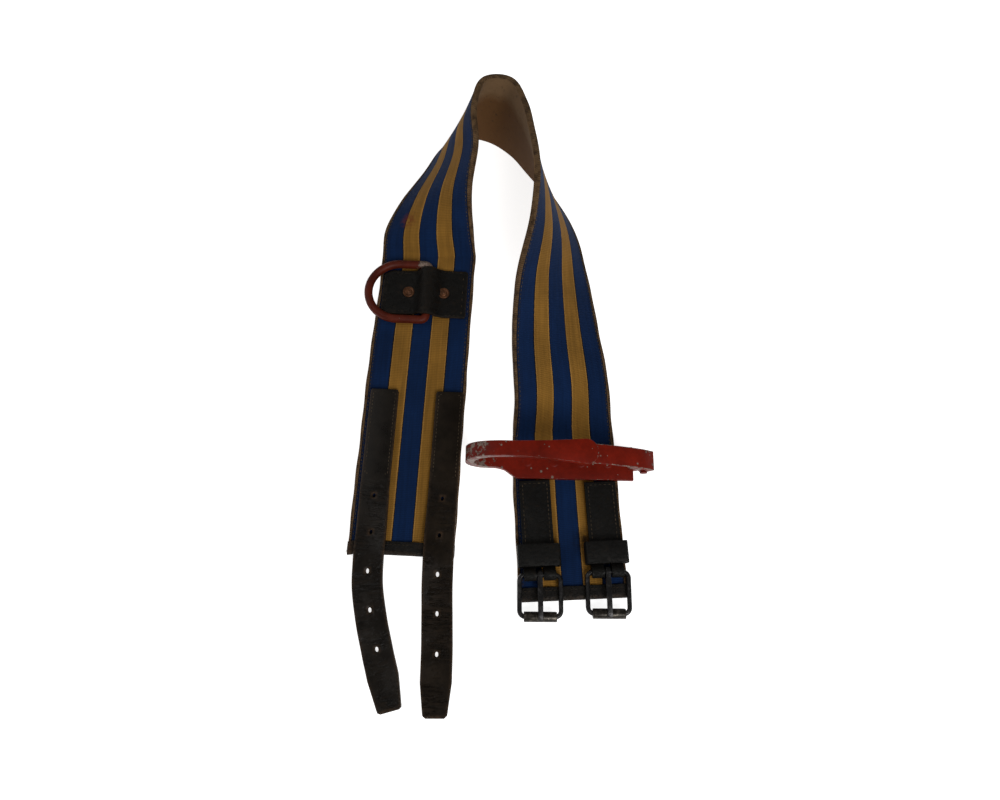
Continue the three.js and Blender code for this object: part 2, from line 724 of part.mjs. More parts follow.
// The spring coiled on the gate's pin, between the two halves of the lug.
function gateSpring() {
  const [pinX, pinZ] = gatePinPlace;
  const radius = gatePinDiameter / 2 + clearance + springWire / 2;
  const pitch = springWire + clearance;
  const points = [];
  for (let i = 0; i <= springTurns * 12; i += 1) {
    const angle = (i / 12) * 2 * Math.PI;
    const y = (i / 12 - springTurns / 2) * pitch;
    points.push(new THREE.Vector3(pinX + radius * Math.cos(angle), y, pinZ + radius * Math.sin(angle)));
  }
  const wire = new THREE.Shape().absarc(0, 0, springWire / 2, 0, 2 * Math.PI);
  const options = { steps: springTurns * 10, extrudePath: new THREE.CatmullRomCurve3(points), curveSegments: 3 };
  return new THREE.ExtrudeGeometry(wire, options).translate(0, 0, hookUnder);
}

function backPlate() {
  const [length, width] = backPlateSize(0);
  const body = box(length, width, backPlateThickness, 0, 0, liningTop - backPlateThickness / 2);
  const holes = hookRivetPlaces.map((u) => bar(rivetShankDiameter + 2 * clearance, 10, 'z', [u, 0, liningTop], 12));
  return cut(body, ...holes);
}

// ---- chapes, keepers and buckles ---------------------------------------------------------

const eyeRadius = buckleWire / 2 + clearance + chapeLayer;
const barHeight = onBelt + eyeRadius;
const chapeThickness = 2 * chapeLayer;

// How far from the belt's end the lower edge of the hook's base lies, at a place across it.
function hookLowerEdge(across) {
  const turn = radians(hookTurn);
  return hookFromEnd + (across - hookOffset) * Math.tan(turn) - hookBaseWidth / 2 / Math.cos(turn);
}

function chapeTop(side) {
  const edges = [-1, 1].map((way) => hookLowerEdge(chapeOffsets[side] + (way * chapeWidth) / 2));
  return Math.min(...edges) - chapeBelowHook;
}

// Leather folded round the buckle's heel bar, both layers sewn down together.
function chape(side) {
  const top = chapeTop(side);
  const shape = new THREE.Shape();
  const grooveLow = keeperFromEnd - keeperLength / 2 - 2 * clearance;
  const grooveHigh = keeperFromEnd + keeperLength / 2 + 2 * clearance;
  const groove = onBelt + keeperThickness + clearance;
  shape.moveTo(heelBarFromEnd, onBelt);
  shape.lineTo(grooveLow, onBelt);
  shape.lineTo(grooveLow, groove);
  shape.lineTo(grooveHigh, groove);
  shape.lineTo(grooveHigh, onBelt);
  shape.lineTo(top, onBelt);
  shape.lineTo(top, onBelt + chapeThickness - chapeBevel);
  shape.lineTo(top - chapeBevel, onBelt + chapeThickness);
  shape.lineTo(heelBarFromEnd + eyeRadius * 1.42, onBelt + chapeThickness);
  shape.lineTo(heelBarFromEnd + eyeRadius * 0.7, barHeight + eyeRadius * 0.72);
  shape.absarc(heelBarFromEnd, barHeight, eyeRadius, Math.PI * 0.25, Math.PI * 1.5, false);
  const eye = new THREE.Path().absarc(heelBarFromEnd, barHeight, eyeRadius - chapeLayer, 0, 2 * Math.PI);
  shape.holes.push(eye);
  const slotWidth = prongWidth + 2;
  const slot = box(slotWidth, eyeRadius * 3, 30, 0, heelBarFromEnd, barHeight);
  const heelRoom = bar(buckleWire + 2 * clearance, chapeWidth + 2 * cutPast, 'x', [0, 0, 0]);
  heelRoom.rotateZ(radians(buckleTurn)).translate(0, heelBarFromEnd, barHeight);
  return cut(endProfile(shape, chapeWidth, 8), slot, heelRoom);
}

function keeper() {
  const top = onBelt + chapeThickness + keeperRoom;
  const outer = roundedRectangle(
    -keeperWidth / 2, keeperWidth / 2, onBelt, top + keeperThickness, keeperThickness * 1.4);
  const inner = roundedRectangle(
    -keeperWidth / 2 + keeperThickness, keeperWidth / 2 - keeperThickness,
    onBelt + keeperThickness, top, keeperThickness * 0.5);
  outer.holes.push(inner);
  return sideProfile(outer, keeperLength, 4).translate(0, keeperFromEnd, 0);
}

// The buckle's parts are made with the heel bar's axis at the origin, reaching to -y.
function buckleFrame() {
  const half = (buckleWidth - buckleWire) / 2;
  const points = [];
  const corners = [[half, 0], [half, -buckleLength], [-half, -buckleLength], [-half, 0]];
  corners.forEach(([x, y], i) => {
    const before = corners[(i + 3) % 4];
    const after = corners[(i + 1) % 4];
    const way = ([fx, fy]) => new THREE.Vector2(fx - x, fy - y).normalize().multiplyScalar(buckleCorner);
    const [a, b] = [way(before), way(after)];
    points.push(new THREE.Vector3(x + a.x, y + a.y, 0));
    points.push(new THREE.Vector3(x + (a.x + b.x) * 0.2, y + (a.y + b.y) * 0.2, 0));
    points.push(new THREE.Vector3(x + b.x, y + b.y, 0));
  });
  return sweptLoop(points, buckleWire / 2, 10);
}

// A round wire bent round a closed flat outline, mitred at each of its points.
function sweptLoop(points, radius, sides) {
  const rings = points.map((point, i) => {
    const before = points[(i + points.length - 1) % points.length];
    const after = points[(i + 1) % points.length];
    const inDirection = new THREE.Vector3().subVectors(point, before).normalize();
    const outDirection = new THREE.Vector3().subVectors(after, point).normalize();
    const mitre = new THREE.Vector3().addVectors(inDirection, outDirection).normalize();
    const sideways = new THREE.Vector3(-mitre.y, mitre.x, 0);
    const stretch = 1 / Math.max(mitre.dot(outDirection), 0.5);
    return Array.from({ length: sides }, (_, k) => {
      const angle = (k / sides) * 2 * Math.PI;
      const vertex = point.clone().addScaledVector(sideways, Math.cos(angle) * radius * stretch);
      vertex.z += Math.sin(angle) * radius;
      return vertex;
    });
  });
  const position = [];
  const corner = (ringIndex, side) => rings[ringIndex % rings.length][side % sides].toArray();
  for (let i = 0; i < rings.length; i += 1) {
    for (let k = 0; k < sides; k += 1) {
      const quad = [corner(i, k), corner(i + 1, k), corner(i + 1, k + 1), corner(i, k + 1)];
      position.push(...quad[0], ...quad[2], ...quad[1], ...quad[0], ...quad[3], ...quad[2]);
    }
  }
  const geometry = new THREE.BufferGeometry();
  geometry.setAttribute('position', new THREE.Float32BufferAttribute(position, 3));
  return mergeVertices(geometry, 1e-4);
}

function roller() {
  const length = buckleWidth - 2 * buckleWire - 2 * buckleCorner * 0.35;
  const tube = bar(rollerDiameter, length, 'x', [0, -buckleLength, 0]);
  return cut(tube, bar(buckleWire + 2 * clearance, length + 2, 'x', [0, -buckleLength, 0]));
}

function prong() {
  const eye = buckleWire / 2 + clearance;
  const outer = eye + prongEyeWall;
  const over = rollerDiameter / 2 + clearance;
  const tip = -buckleLength - rollerDiameter * 0.35;
  const shape = new THREE.Shape();
  shape.absarc(0, 0, outer, -Math.PI * 0.75, Math.PI * 0.62, false);
  shape.lineTo(-buckleLength * 0.45, over * 0.55 + prongThickness);
  shape.lineTo(-buckleLength + 1, over + prongThickness * 0.92);
  shape.lineTo(tip, over + prongThickness * 0.45);
  shape.lineTo(tip + 0.6, over + 0.1);
  shape.lineTo(-buckleLength + 2, over + 0.1);
  shape.lineTo(-buckleLength * 0.5, over * 0.55);
  shape.holes.push(new THREE.Path().absarc(0, 0, eye, 0, 2 * Math.PI));
  return endProfile(shape, prongWidth, 8);
}

function buckleSet(side) {
  const parts = group(`buckle_${side}`,
    piece(`buckle_frame_${side}`, buckleFrame(), colours.iron),
    piece(`buckle_roller_${side}`, roller(), colours.steel),
    piece(`buckle_prong_${side}`, prong(), colours.iron));
  parts.position.set(chapeOffsets[side], heelBarFromEnd, barHeight);
  parts.rotation.set(radians(buckleTilt), 0, radians(buckleTurn));
  return parts;
}

// ---- the whole belt ----------------------------------------------------------------------

function leftFittings() {
  const fittings = group('left_fittings',
    piece('ring_patch', patch(), colours.leather),
    piece('dee_ring', ring(), colours.redPaint));
  patchRivetPlaces.forEach(([x, y], i) => {
    const under = onBelt + patchThickness + clearance;
    const name = i === 0 ? 'outer' : 'inner';
    const end = liningTop - burrThickness;
    const made = rivet(rivetHeadDiameter, rivetHeadHeight, under, end).translate(x, y, 0);
    fittings.add(piece(`patch_rivet_${name}`, made, colours.copper));
    fittings.add(piece(`patch_burr_${name}`, burr().translate(x, y, 0), colours.copper));
  });
  ['left', 'right'].forEach((side) => {
    fittings.add(piece(`strap_${side}_sewn`, sewnStrap(side), colours.strap));
    fittings.add(piece(`strap_${side}_free`, freeStrap(side), colours.strap));
  });
  return placed(leftFrame, fittings);
}

function hookSet() {
  const made = group('hook',
    piece('hook_body', hookBody(), colours.redPaint),
    piece('hook_gate', gate(), colours.redPaint),
    piece('hook_gate_pin', gatePin(), colours.steel),
    piece('hook_gate_spring', gateSpring(), colours.steel),
    piece('hook_back_plate', backPlate(), colours.steel));
  hookRivetPlaces.forEach((u, i) => {
    const under = hookUnder + hookBaseThickness + clearance;
    const solid = rivet(hookRivetDiameter, hookRivetHeight, under, liningTop - backPlateThickness);
    made.add(piece(`hook_rivet_${i + 1}`, solid.translate(u, 0, 0), colours.steel));
  });
  made.position.set(hookOffset, hookFromEnd, 0);
  made.rotation.z = radians(hookTurn);
  return made;
}

function rightFittings() {
  const fittings = group('right_fittings', hookSet());
  ['left', 'right'].forEach((side) => {
    const shift = chapeOffsets[side];
    fittings.add(piece(`chape_${side}`, chape(side).translate(shift, 0, 0), colours.leather));
    fittings.add(piece(`keeper_${side}`, keeper().translate(shift, 0, 0), colours.leather));
    fittings.add(buckleSet(side));
  });
  return placed(rightFrame, fittings);
}

function climbingBelt() {
  const belt = group('climbing_belt',
    piece('webbing_band', webbing(), colours.webbing),
    piece('lining_band', lining(), colours.lining),
    piece('end_binding_left', binding(true), colours.leather),
    piece('end_binding_right', binding(false), colours.leather),
    leftFittings(),
    rightFittings());
  belt.updateMatrixWorld(true);
  const size = new THREE.Box3().setFromObject(belt, true);
  const middle = size.getCenter(new THREE.Vector3());
  belt.position.set(-middle.x, -middle.y, 0);
  return group('part', belt);
}

export default climbingBelt();
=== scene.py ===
import functools
import math
import random

import bpy
import numpy as np
from bpy.props import FloatProperty, FloatVectorProperty, PointerProperty
from mathutils import Matrix, Vector


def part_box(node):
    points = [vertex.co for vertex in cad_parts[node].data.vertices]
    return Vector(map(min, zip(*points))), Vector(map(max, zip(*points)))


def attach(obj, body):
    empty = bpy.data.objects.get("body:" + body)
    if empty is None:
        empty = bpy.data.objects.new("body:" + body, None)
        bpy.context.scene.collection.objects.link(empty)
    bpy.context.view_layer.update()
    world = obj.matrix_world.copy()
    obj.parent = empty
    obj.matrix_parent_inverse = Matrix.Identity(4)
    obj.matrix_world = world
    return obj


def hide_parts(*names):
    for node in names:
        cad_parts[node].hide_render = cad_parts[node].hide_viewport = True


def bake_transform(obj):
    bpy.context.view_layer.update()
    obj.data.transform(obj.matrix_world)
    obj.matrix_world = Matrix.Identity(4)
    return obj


bl_info = {
    "name": "Climbing Belt",
    "version": (1, 0, 0),
    "blender": (4, 5, 0),
    "location": "3D View > Sidebar > Belt",
    "description": "Makes a striped climbing belt with its ring, snap hook, straps and buckles",
    "category": "Add Mesh",
}

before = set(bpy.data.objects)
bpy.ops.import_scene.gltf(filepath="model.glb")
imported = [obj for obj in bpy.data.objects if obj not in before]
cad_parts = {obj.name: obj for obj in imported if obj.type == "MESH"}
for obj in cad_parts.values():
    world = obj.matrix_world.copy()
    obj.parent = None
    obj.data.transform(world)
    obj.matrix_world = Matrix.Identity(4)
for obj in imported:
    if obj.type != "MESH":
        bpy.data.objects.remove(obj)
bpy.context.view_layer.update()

MM = 0.001

# ---- how the belt lies, in millimetres ---------------------------------------------------

# A point of the outer edge on the table, the plan direction in degrees from there to the
# inner edge, and how many degrees the band is lifted off the table there.
LAY = (
    (-123.2, -136.4, -3, 0),
    (-119, -50, -3, 0),
    (-114, 44, -3, 0),
    (-110, 92, 8, 0),
    (-108.8, 124, 5, 0),
    (-105.7, 156.3, -7.2, 17.8),
    (-91.3, 187.8, -15, 36.9),
    (-70.6, 219.5, -15.4, 51.7),
    (-54.8, 246, -16.2, 65.6),
    (-35.5, 261.8, -8.6, 74.5),
    (-13.9, 258.7, -1.9, 76.2),
    (8, 243.3, -44.1, 81.5),
    (23.7, 222.7, -95.9, 80.8),
    (44.8, 192.5, -133.3, 72.1),
    (64.5, 153.1, -151.8, 56.7),
    (75.1, 105.5, -162, 38.6),
    (83.2, 56.9, -164.4, 23.8),
    (90, 12, -163, 12),
    (92.5, -26, -168, 0),
    (94.5, -80, -174, 0),
    (98.6, -170, -176, 0),
)
WEBBING_TOP = 5.1
WEBBING_UNDER = 2.5
ON_BELT = 5.4

# Each strap's middle line below its sewing: sideways from the sewn line, distance from the
# belt's end, and height of the underside.
STRAP_LINES = {
    "left": (
        (0, 60, 5.4), (0, 52, 5.4), (0.4, 40, 5.6), (1, 16, 7.3), (1, -4, 7.3),
        (2, -26, 4), (7, -50, 1.5), (14, -74, 0), (22, -98, 0.6), (28, -117, 1.5),
    ),
    "right": (
        (0, 60, 5.4), (0, 52, 5.4), (0, 40, 5.6), (0, 16, 7.3), (0.5, -4, 7.3),
        (1, -26, 4), (2.5, -50, 1.5), (4, -74, 0), (5, -98, 0), (6, -120, 0.6),
    ),
}
STRAP_OFFSETS = {"left": -25.5, "right": 30.3}
STRAP_TIP_WIDTH = 18
STRAP_TAPER = 25
STRAP_CORNER = 2
SEWN_START = 60
SEWN_LENGTH = 77
FIRST_HOLE = 15
HOLE_PITCH = 30
HOLE_COUNT = 5
STRAP_ROW = 1.25
SEWN_ROWS = 62
HOLE_CELLS = 4

RING_PLACE = (3.5, 229.8, 9.1)
RING_BOW_RADIUS = 27.05
RING_BOW = 25.75
RING_CORNER = 4.5
PATCH_FROM = -40.5
PATCH_TO = 35
PATCH_RIVETS = (-17, 14.2)

HOOK_PLACE = (2.5, 107.8)
HOOK_TURN = -3.8
HOOK_HEIGHT = 43
NOSE_RATIO = 0.895
NOSE_WIDTH = 20
HOOK_RIVETS = (-33, -11, 11, 33)
GATE_PIN = (61, 11)
# The hook's strip: across the belt, height over the base's underside, width and thickness.
HOOK_STATIONS = (
    (54, 2, 28, 4),
    (20, 2, 28, 4),
    (-40, 2, 28, 4),
    (-46, 2.1, 22.4, 4),
    (-52, 2.4, 14, 4.6),
    (-59, 3.4, 11.2, 5.5),
    (-70, HOOK_HEIGHT * 0.15, 12, 6.5),
    (-77.5, HOOK_HEIGHT * 0.32, 12.5, 6.8),
    (-79.5, HOOK_HEIGHT * 0.52, 12.5, 7),
    (-77, HOOK_HEIGHT * 0.72, 12.5, 6.8),
    (-69.5, HOOK_HEIGHT * 0.9, 12, 6.4),
    (-58, HOOK_HEIGHT * 0.985, 12, 5.8),
    (-44, HOOK_HEIGHT, 12, 5),
    (-20, HOOK_HEIGHT * 0.965, 14.2, 5),
    (0, HOOK_HEIGHT * 0.925, 17.4, 5),
    (11.5, HOOK_HEIGHT * NOSE_RATIO, NOSE_WIDTH, 5),
)

CHAPE_OFFSETS = {"left": -25.585, "right": 27.625}
HEEL_BAR = (18.3, 10)
BUCKLE_TILT = 3
BUCKLE_TURN = -3
SIDES = ("left", "right")
# The camera stands this far from the band's middle, turned up from straight down by its pitch.
CAMERA = (-1.5, -215, 602)
CAMERA_PITCH = 19
CAMERA_LENS = 26.64
SENSOR_WIDTH = 36
# The table is in metres, a little below the belt so that they never share a face.
TABLE_SIZE = 12
TABLE_DROP = 0.0006


# ---- sizes and colours that a user can change ---------------------------------------------


def length_property(name, description, default):
    """A size shown in the scene's own unit."""
    return FloatProperty(name=name, description=description, default=default, min=0, unit="LENGTH",
                         subtype="DISTANCE", precision=4)


def colour_property(name, description, default):
    """A colour in linear light."""
    return FloatVectorProperty(name=name, description=description, default=default, size=3,
                               subtype="COLOR", min=0, max=1)


class BeltSizes(bpy.types.PropertyGroup):
    """Sizes of the belt's pieces."""

    belt_width: length_property("Belt width", "Width of the band over its turned edges", 0.085)
    webbing_thickness: length_property("Webbing thickness", "Thickness of the striped webbing", 0.0022)
    lining_thickness: length_property("Lining thickness", "Thickness of the canvas lining", 0.0020)
    edge_width: length_property("Turned edge width", "Width of the canvas turned over each edge", 0.0024)
    strap_width: length_property("Strap width", "Width of the two leather straps", 0.024)
    strap_thickness: length_property("Strap thickness", "Thickness of the strap leather", 0.003)
    hole_width: length_property("Strap hole width", "Diameter of the punched holes", 0.004)
    patch_thickness: length_property("Patch thickness", "Thickness of the ring's leather patch", 0.0024)
    ring_wire: length_property("Ring wire", "Diameter of the ring's round wire", 0.0074)
    rivet_width: length_property("Rivet width", "Diameter of the copper rivets over their washers", 0.0105)
    gate_width: length_property("Gate width", "Width of the snap hook's gate", 0.016)
    buckle_width: length_property("Buckle width", "Width of each buckle over its frame", 0.036)
    buckle_length: length_property("Buckle length", "From the heel bar to the roller", 0.0316)
    buckle_wire: length_property("Buckle wire", "Diameter of the buckle's bent wire", 0.0038)
    metal_rounding: length_property("Metal rounding", "Rounding of the hook's edges", 0.0008)
    stitch_pitch: length_property("Stitch spacing", "Distance from one stitch to the next", 0.0032)
    stitch_length: length_property("Stitch length", "Length of one stitch", 0.0023)
    thread_width: length_property("Thread width", "Diameter of the sewing thread", 0.0006)


class BeltColours(bpy.types.PropertyGroup):
    """Colours of the belt's finishes."""

    navy: colour_property("Navy", "Blue stripes of the webbing", (0.0032, 0.0150, 0.056))
    mustard: colour_property("Mustard", "Yellow stripes of the webbing", (0.215, 0.105, 0.0180))
    border: colour_property("Border thread", "Dark line beside each stripe", (0.006, 0.006, 0.008))
    canvas: colour_property("Canvas", "Lining and turned edges", (0.165, 0.098, 0.048))
    black_leather: colour_property("Black leather", "Patch, chapes, keepers and bindings",
                                   (0.0032, 0.0029, 0.0022))
    strap_leather: colour_property("Strap leather", "The two long straps", (0.0068, 0.0050, 0.0034))
    # This colour marks real wear on cut edges and rubbed places, and also paints the highlights on the
    # leather's fold ridges.
    wear_and_highlight_leather: colour_property("Worn leather", "Cut edges and rubbed places", (0.060, 0.034, 0.018))
    red: colour_property("Red paint", "Paint on the hook, gate and ring", (0.150, 0.0068, 0.0011))
    worn_red: colour_property("Old red paint", "Darker paint on the ring", (0.078, 0.0105, 0.0040))
    bare: colour_property("Bare metal", "Metal where paint is chipped", (0.26, 0.19, 0.155))
    copper: colour_property("Copper", "Copper rivets", (0.100, 0.040, 0.016))
    iron: colour_property("Black iron", "Buckle frames and prongs", (0.016, 0.015, 0.015))
    steel: colour_property("Steel", "Rollers, pin and spring", (0.030, 0.026, 0.021))
    thread: colour_property("Thread", "Sewing thread", (0.085, 0.060, 0.036))
    floor: colour_property("Floor", "The table", (0.90, 0.90, 0.90))


# ---- modelling helpers --------------------------------------------------------------------


def only(piece):
    """Selects one object alone and makes it the active one."""
    bpy.ops.object.select_all(action="DESELECT")
    piece.select_set(True)
    bpy.context.view_layer.objects.active = piece


def named(name):
    """Names the object that was just added."""
    piece = bpy.context.active_object
    piece.name = piece.data.name = name
    return piece


def flat_grid(name, columns, rows):
    """A grid of faces from 0 to 1 both ways."""
    bpy.ops.object.select_all(action="DESELECT")
    bpy.ops.mesh.primitive_grid_add(x_subdivisions=columns, y_subdivisions=rows, size=1,
                                    location=(0.5, 0.5, 0))
    bpy.ops.object.transform_apply(location=True, rotation=False, scale=False)
    return named(name)


def points_of(piece):
    """The piece's points as an array."""
    values = np.empty(len(piece.data.vertices) * 3)
    piece.data.vertices.foreach_get("co", values)
    return values.reshape(-1, 3)


def move_points(piece, points):
    """Puts the piece's points at new places."""
    piece.data.vertices.foreach_set("co", np.asarray(points, float).ravel())
    piece.data.update()


def remember(piece, name, values):
    """Keeps a number, or three, on each point for the materials to read."""
    values = np.asarray(values, float)
    kind = "FLOAT" if values.ndim == 1 else "FLOAT_VECTOR"
    attribute = piece.data.attributes.new(name, kind, "POINT")
    attribute.data.foreach_set("value" if kind == "FLOAT" else "vector", values.ravel())


def apply_modifier(piece, kind, **settings):
    """Adds one modifier with these settings and applies it."""
    only(piece)
    modifier = piece.modifiers.new(kind.title(), kind)
    for name, value in settings.items():
        setattr(modifier, name, value)
    bpy.ops.object.modifier_apply(modifier=modifier.name)


def thicken(piece, thickness):
    """Gives a sheet its thickness, downwards from the face that was laid."""
    apply_modifier(piece, "SOLIDIFY", thickness=thickness, offset=-1, use_even_offset=False)


def round_edges(piece, width, segments=2, degrees=40, **settings):
    """Rounds every edge that turns more than some degrees."""
    apply_modifier(piece, "BEVEL", width=width, segments=segments, limit_method="ANGLE",
                   angle_limit=math.radians(degrees), use_clamp_overlap=True, **settings)


def weld(piece, fill=False):
    """Joins points that meet, closes open ends if asked, and turns every face outwards."""
    only(piece)
    bpy.ops.object.mode_set(mode="EDIT")
    bpy.ops.mesh.select_all(action="SELECT")
    bpy.ops.mesh.remove_doubles(threshold=1e-3)
    if fill:
        bpy.ops.mesh.fill_holes(sides=0)
    bpy.ops.mesh.select_all(action="SELECT")
    bpy.ops.mesh.normals_make_consistent(inside=False)
    bpy.ops.object.mode_set(mode="OBJECT")


def tube(name, around, rows, place):
    """A closed bar whose points are put by place(turn, along), both from 0 to 1."""
    piece = flat_grid(name, around, rows)
    flat = points_of(piece)
    move_points(piece, place(flat[:, 0] % 1, flat[:, 1]))
    weld(piece, fill=True)
    return piece


def loop(name, around, rows, place):
    """A closed round of wire whose points are put by place(turn, along), from a torus."""
    bpy.ops.object.select_all(action="DESELECT")
    bpy.ops.mesh.primitive_torus_add(major_segments=rows, minor_segments=around, major_radius=1,
                                     minor_radius=0.25)
    piece = named(name)
    x, y, z = points_of(piece).T
    along = (np.arctan2(y, x) / (2 * math.pi)) % 1
    turn = (np.arctan2(z, np.hypot(x, y) - 1) / (2 * math.pi)) % 1
    move_points(piece, place(turn, along))
    weld(piece)
    return piece


def plate(name, outline, thickness, middle):
    """A flat outline in (x, z) made thick along y about a middle."""
    bpy.ops.object.select_all(action="DESELECT")
    bpy.ops.mesh.primitive_circle_add(vertices=len(outline), fill_type="NGON")
    piece = named(name)
    outline = np.asarray(outline, float)
    depth = np.full(len(outline), middle + thickness / 2)
    move_points(piece, np.stack([outline[:, 0], depth, outline[:, 1]], 1))
    only(piece)
    bpy.ops.object.mode_set(mode="EDIT")
    bpy.ops.mesh.select_all(action="SELECT")
    bpy.ops.mesh.extrude_region_move(TRANSFORM_OT_translate={"value": (0, -thickness, 0)})
    bpy.ops.mesh.select_all(action="SELECT")
    bpy.ops.mesh.normals_make_consistent(inside=False)
    bpy.ops.object.mode_set(mode="OBJECT")
    return piece


def turned(name, profile, steps=32):
    """A round piece spun about z from a line of (radius, height) points."""
    bpy.ops.object.select_all(action="DESELECT")
    bpy.ops.mesh.primitive_plane_add(size=1, location=(0, 0, 0))
    piece = named(name)
    bpy.ops.object.mode_set(mode="EDIT")
    bpy.ops.mesh.select_all(action="SELECT")
    bpy.ops.mesh.merge(type="CENTER")
    before = Vector((0, 0, 0))
    first = Vector((profile[0][0], 0, profile[0][1]))
    bpy.ops.transform.translate(value=first - before)
    for radius, height in profile[1:]:
        step = Vector((radius, 0, height)) - first
        bpy.ops.mesh.extrude_vertices_move(TRANSFORM_OT_translate={"value": step})
        first = Vector((radius, 0, height))
    bpy.ops.mesh.select_all(action="SELECT")
    bpy.ops.mesh.spin(steps=steps, angle=2 * math.pi, center=(0, 0, 0), axis=(0, 0, 1))
    bpy.ops.object.mode_set(mode="OBJECT")
    weld(piece)
    return piece


def joined(name, pieces):
    """Several objects as one."""
    bpy.ops.object.select_all(action="DESELECT")
    for piece in pieces:
        piece.select_set(True)
    bpy.context.view_layer.objects.active = pieces[0]
    if len(pieces) > 1:
        bpy.ops.object.join()
    return named(name)


def softened(node, name, width, degrees=35, segments=2):
    """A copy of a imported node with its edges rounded."""
    piece = bpy.data.objects.new(name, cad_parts[node].data.copy())
    bpy.context.scene.collection.objects.link(piece)
    piece.data.name = name
    only(piece)
    bpy.ops.object.mode_set(mode="EDIT")
    bpy.ops.mesh.select_all(action="SELECT")
    bpy.ops.mesh.remove_doubles(threshold=1e-6)
    bpy.ops.mesh.dissolve_limited(angle_limit=math.radians(1))
    bpy.ops.object.mode_set(mode="OBJECT")
    round_edges(piece, width, segments, degrees)
    return piece


def settle(piece, place):
    """Sets a piece modelled in millimetres at its place, leaving the object at the origin."""
    only(piece)
    piece.matrix_world = place @ Matrix.Scale(MM, 4)
    bpy.ops.object.transform_apply(location=True, rotation=True, scale=True)


def finish_piece(piece, material, body=None, nodes=(), degrees=35):
    """Gives a piece its finish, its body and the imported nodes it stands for."""
    only(piece)
    if degrees:
        bpy.ops.object.shade_smooth_by_angle(angle=math.radians(degrees))
    if material is not None:
        piece.data.materials.clear()
        for each in material if isinstance(material, tuple) else (material,):
            piece.data.materials.append(each)
    if nodes:
        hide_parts(*nodes)
    if body:
        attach(piece, body)
    return piece


def stitches(name, places, sizes, radius=None):
    """A row of stitches: each place is a point, the way the thread runs and the way up."""
    bpy.ops.object.select_all(action="DESELECT")
    half = sizes.stitch_length / MM / 2
    thread = (radius or sizes.thread_width / 2) / MM
    bpy.ops.mesh.primitive_uv_sphere_add(segments=6, ring_count=5, radius=1)
    model = named(name)
    model.scale = (thread, thread * 0.8, half)
    bpy.ops.object.transform_apply(location=False, rotation=False, scale=True)
    pieces = []
    for point, way, up in places:
        way = Vector(way).normalized()
        side = Vector(up).cross(way).normalized()
        up = way.cross(side)
        turn = Matrix((side, up, way)).transposed().to_4x4()
        copy = bpy.data.objects.new(name, model.data.copy())
        bpy.context.scene.collection.objects.link(copy)
        copy.data.transform(Matrix.Translation(point) @ turn)
        pieces.append(copy)
    bpy.data.objects.remove(model)
    return joined(name, pieces)


def seam(start, end, height, sizes, skip=()):
    """Places of the stitches of a straight seam on a flat face."""
    start, end = Vector(start), Vector(end)
    count = max(int((end - start).length / (sizes.stitch_pitch / MM)), 1)
    way = end - start
    points = [start.lerp(end, (i + 0.5) / count) for i in range(count) if i not in skip]
    return [((p.x, p.y, height), (way.x, way.y, 0), (0, 0, 1)) for p in points]


# ---- where things are ---------------------------------------------------------------------


class Rail:
    """A smooth line through given points, eased by how far apart they are."""

    def __init__(self, points):
        points = np.array(points, float)
        before = 2 * points[0] - points[1]
        after = 2 * points[-1] - points[-2]
        self.points = np.vstack([before, points, after])
        self.spans = len(points) - 1
        self.fine = np.linspace(0, 1, 4001)
        steps = np.linalg.norm(np.diff(self.at(self.fine), axis=0), axis=1)
        self.run = np.concatenate([[0], np.cumsum(steps)])
        self.length = self.run[-1]

    def at(self, t):
        """Points at t from 0 to 1, counted by the given points."""
        t = np.clip(np.asarray(t, float), 0, 1) * self.spans
        i = np.minimum(t.astype(int), self.spans - 1)
        w = (t - i)[..., None]
        a, b, c, d = (self.points[i + k] for k in range(4))
        ab, bc, cd = (np.sqrt(np.linalg.norm(q - p, axis=-1, keepdims=True))
                      for p, q in ((a, b), (b, c), (c, d)))
        bc = np.where(bc < 1e-2, 1, bc)
        ab, cd = np.where(ab < 1e-2, bc, ab), np.where(cd < 1e-2, bc, cd)
        leave = ((b - a) / ab - (c - a) / (ab + bc) + (c - b) / bc) * bc
        arrive = ((c - b) / bc - (d - b) / (bc + cd) + (d - c) / cd) * bc
        square = 3 * (c - b) - 2 * leave - arrive
        cube = 2 * (b - c) + leave + arrive
        return b + leave * w + square * w ** 2 + cube * w ** 3

    def ahead(self, t):
        """The way the line runs at t."""
        t = np.asarray(t, float)
        way = self.at(np.minimum(t + 1e-4, 1)) - self.at(np.maximum(t - 1e-4, 0))
        return way / np.linalg.norm(way, axis=-1, keepdims=True)

    def by_length(self, share):
        """t at a share of the line's length."""
        return np.interp(np.asarray(share, float) * self.length, self.run, self.fine)


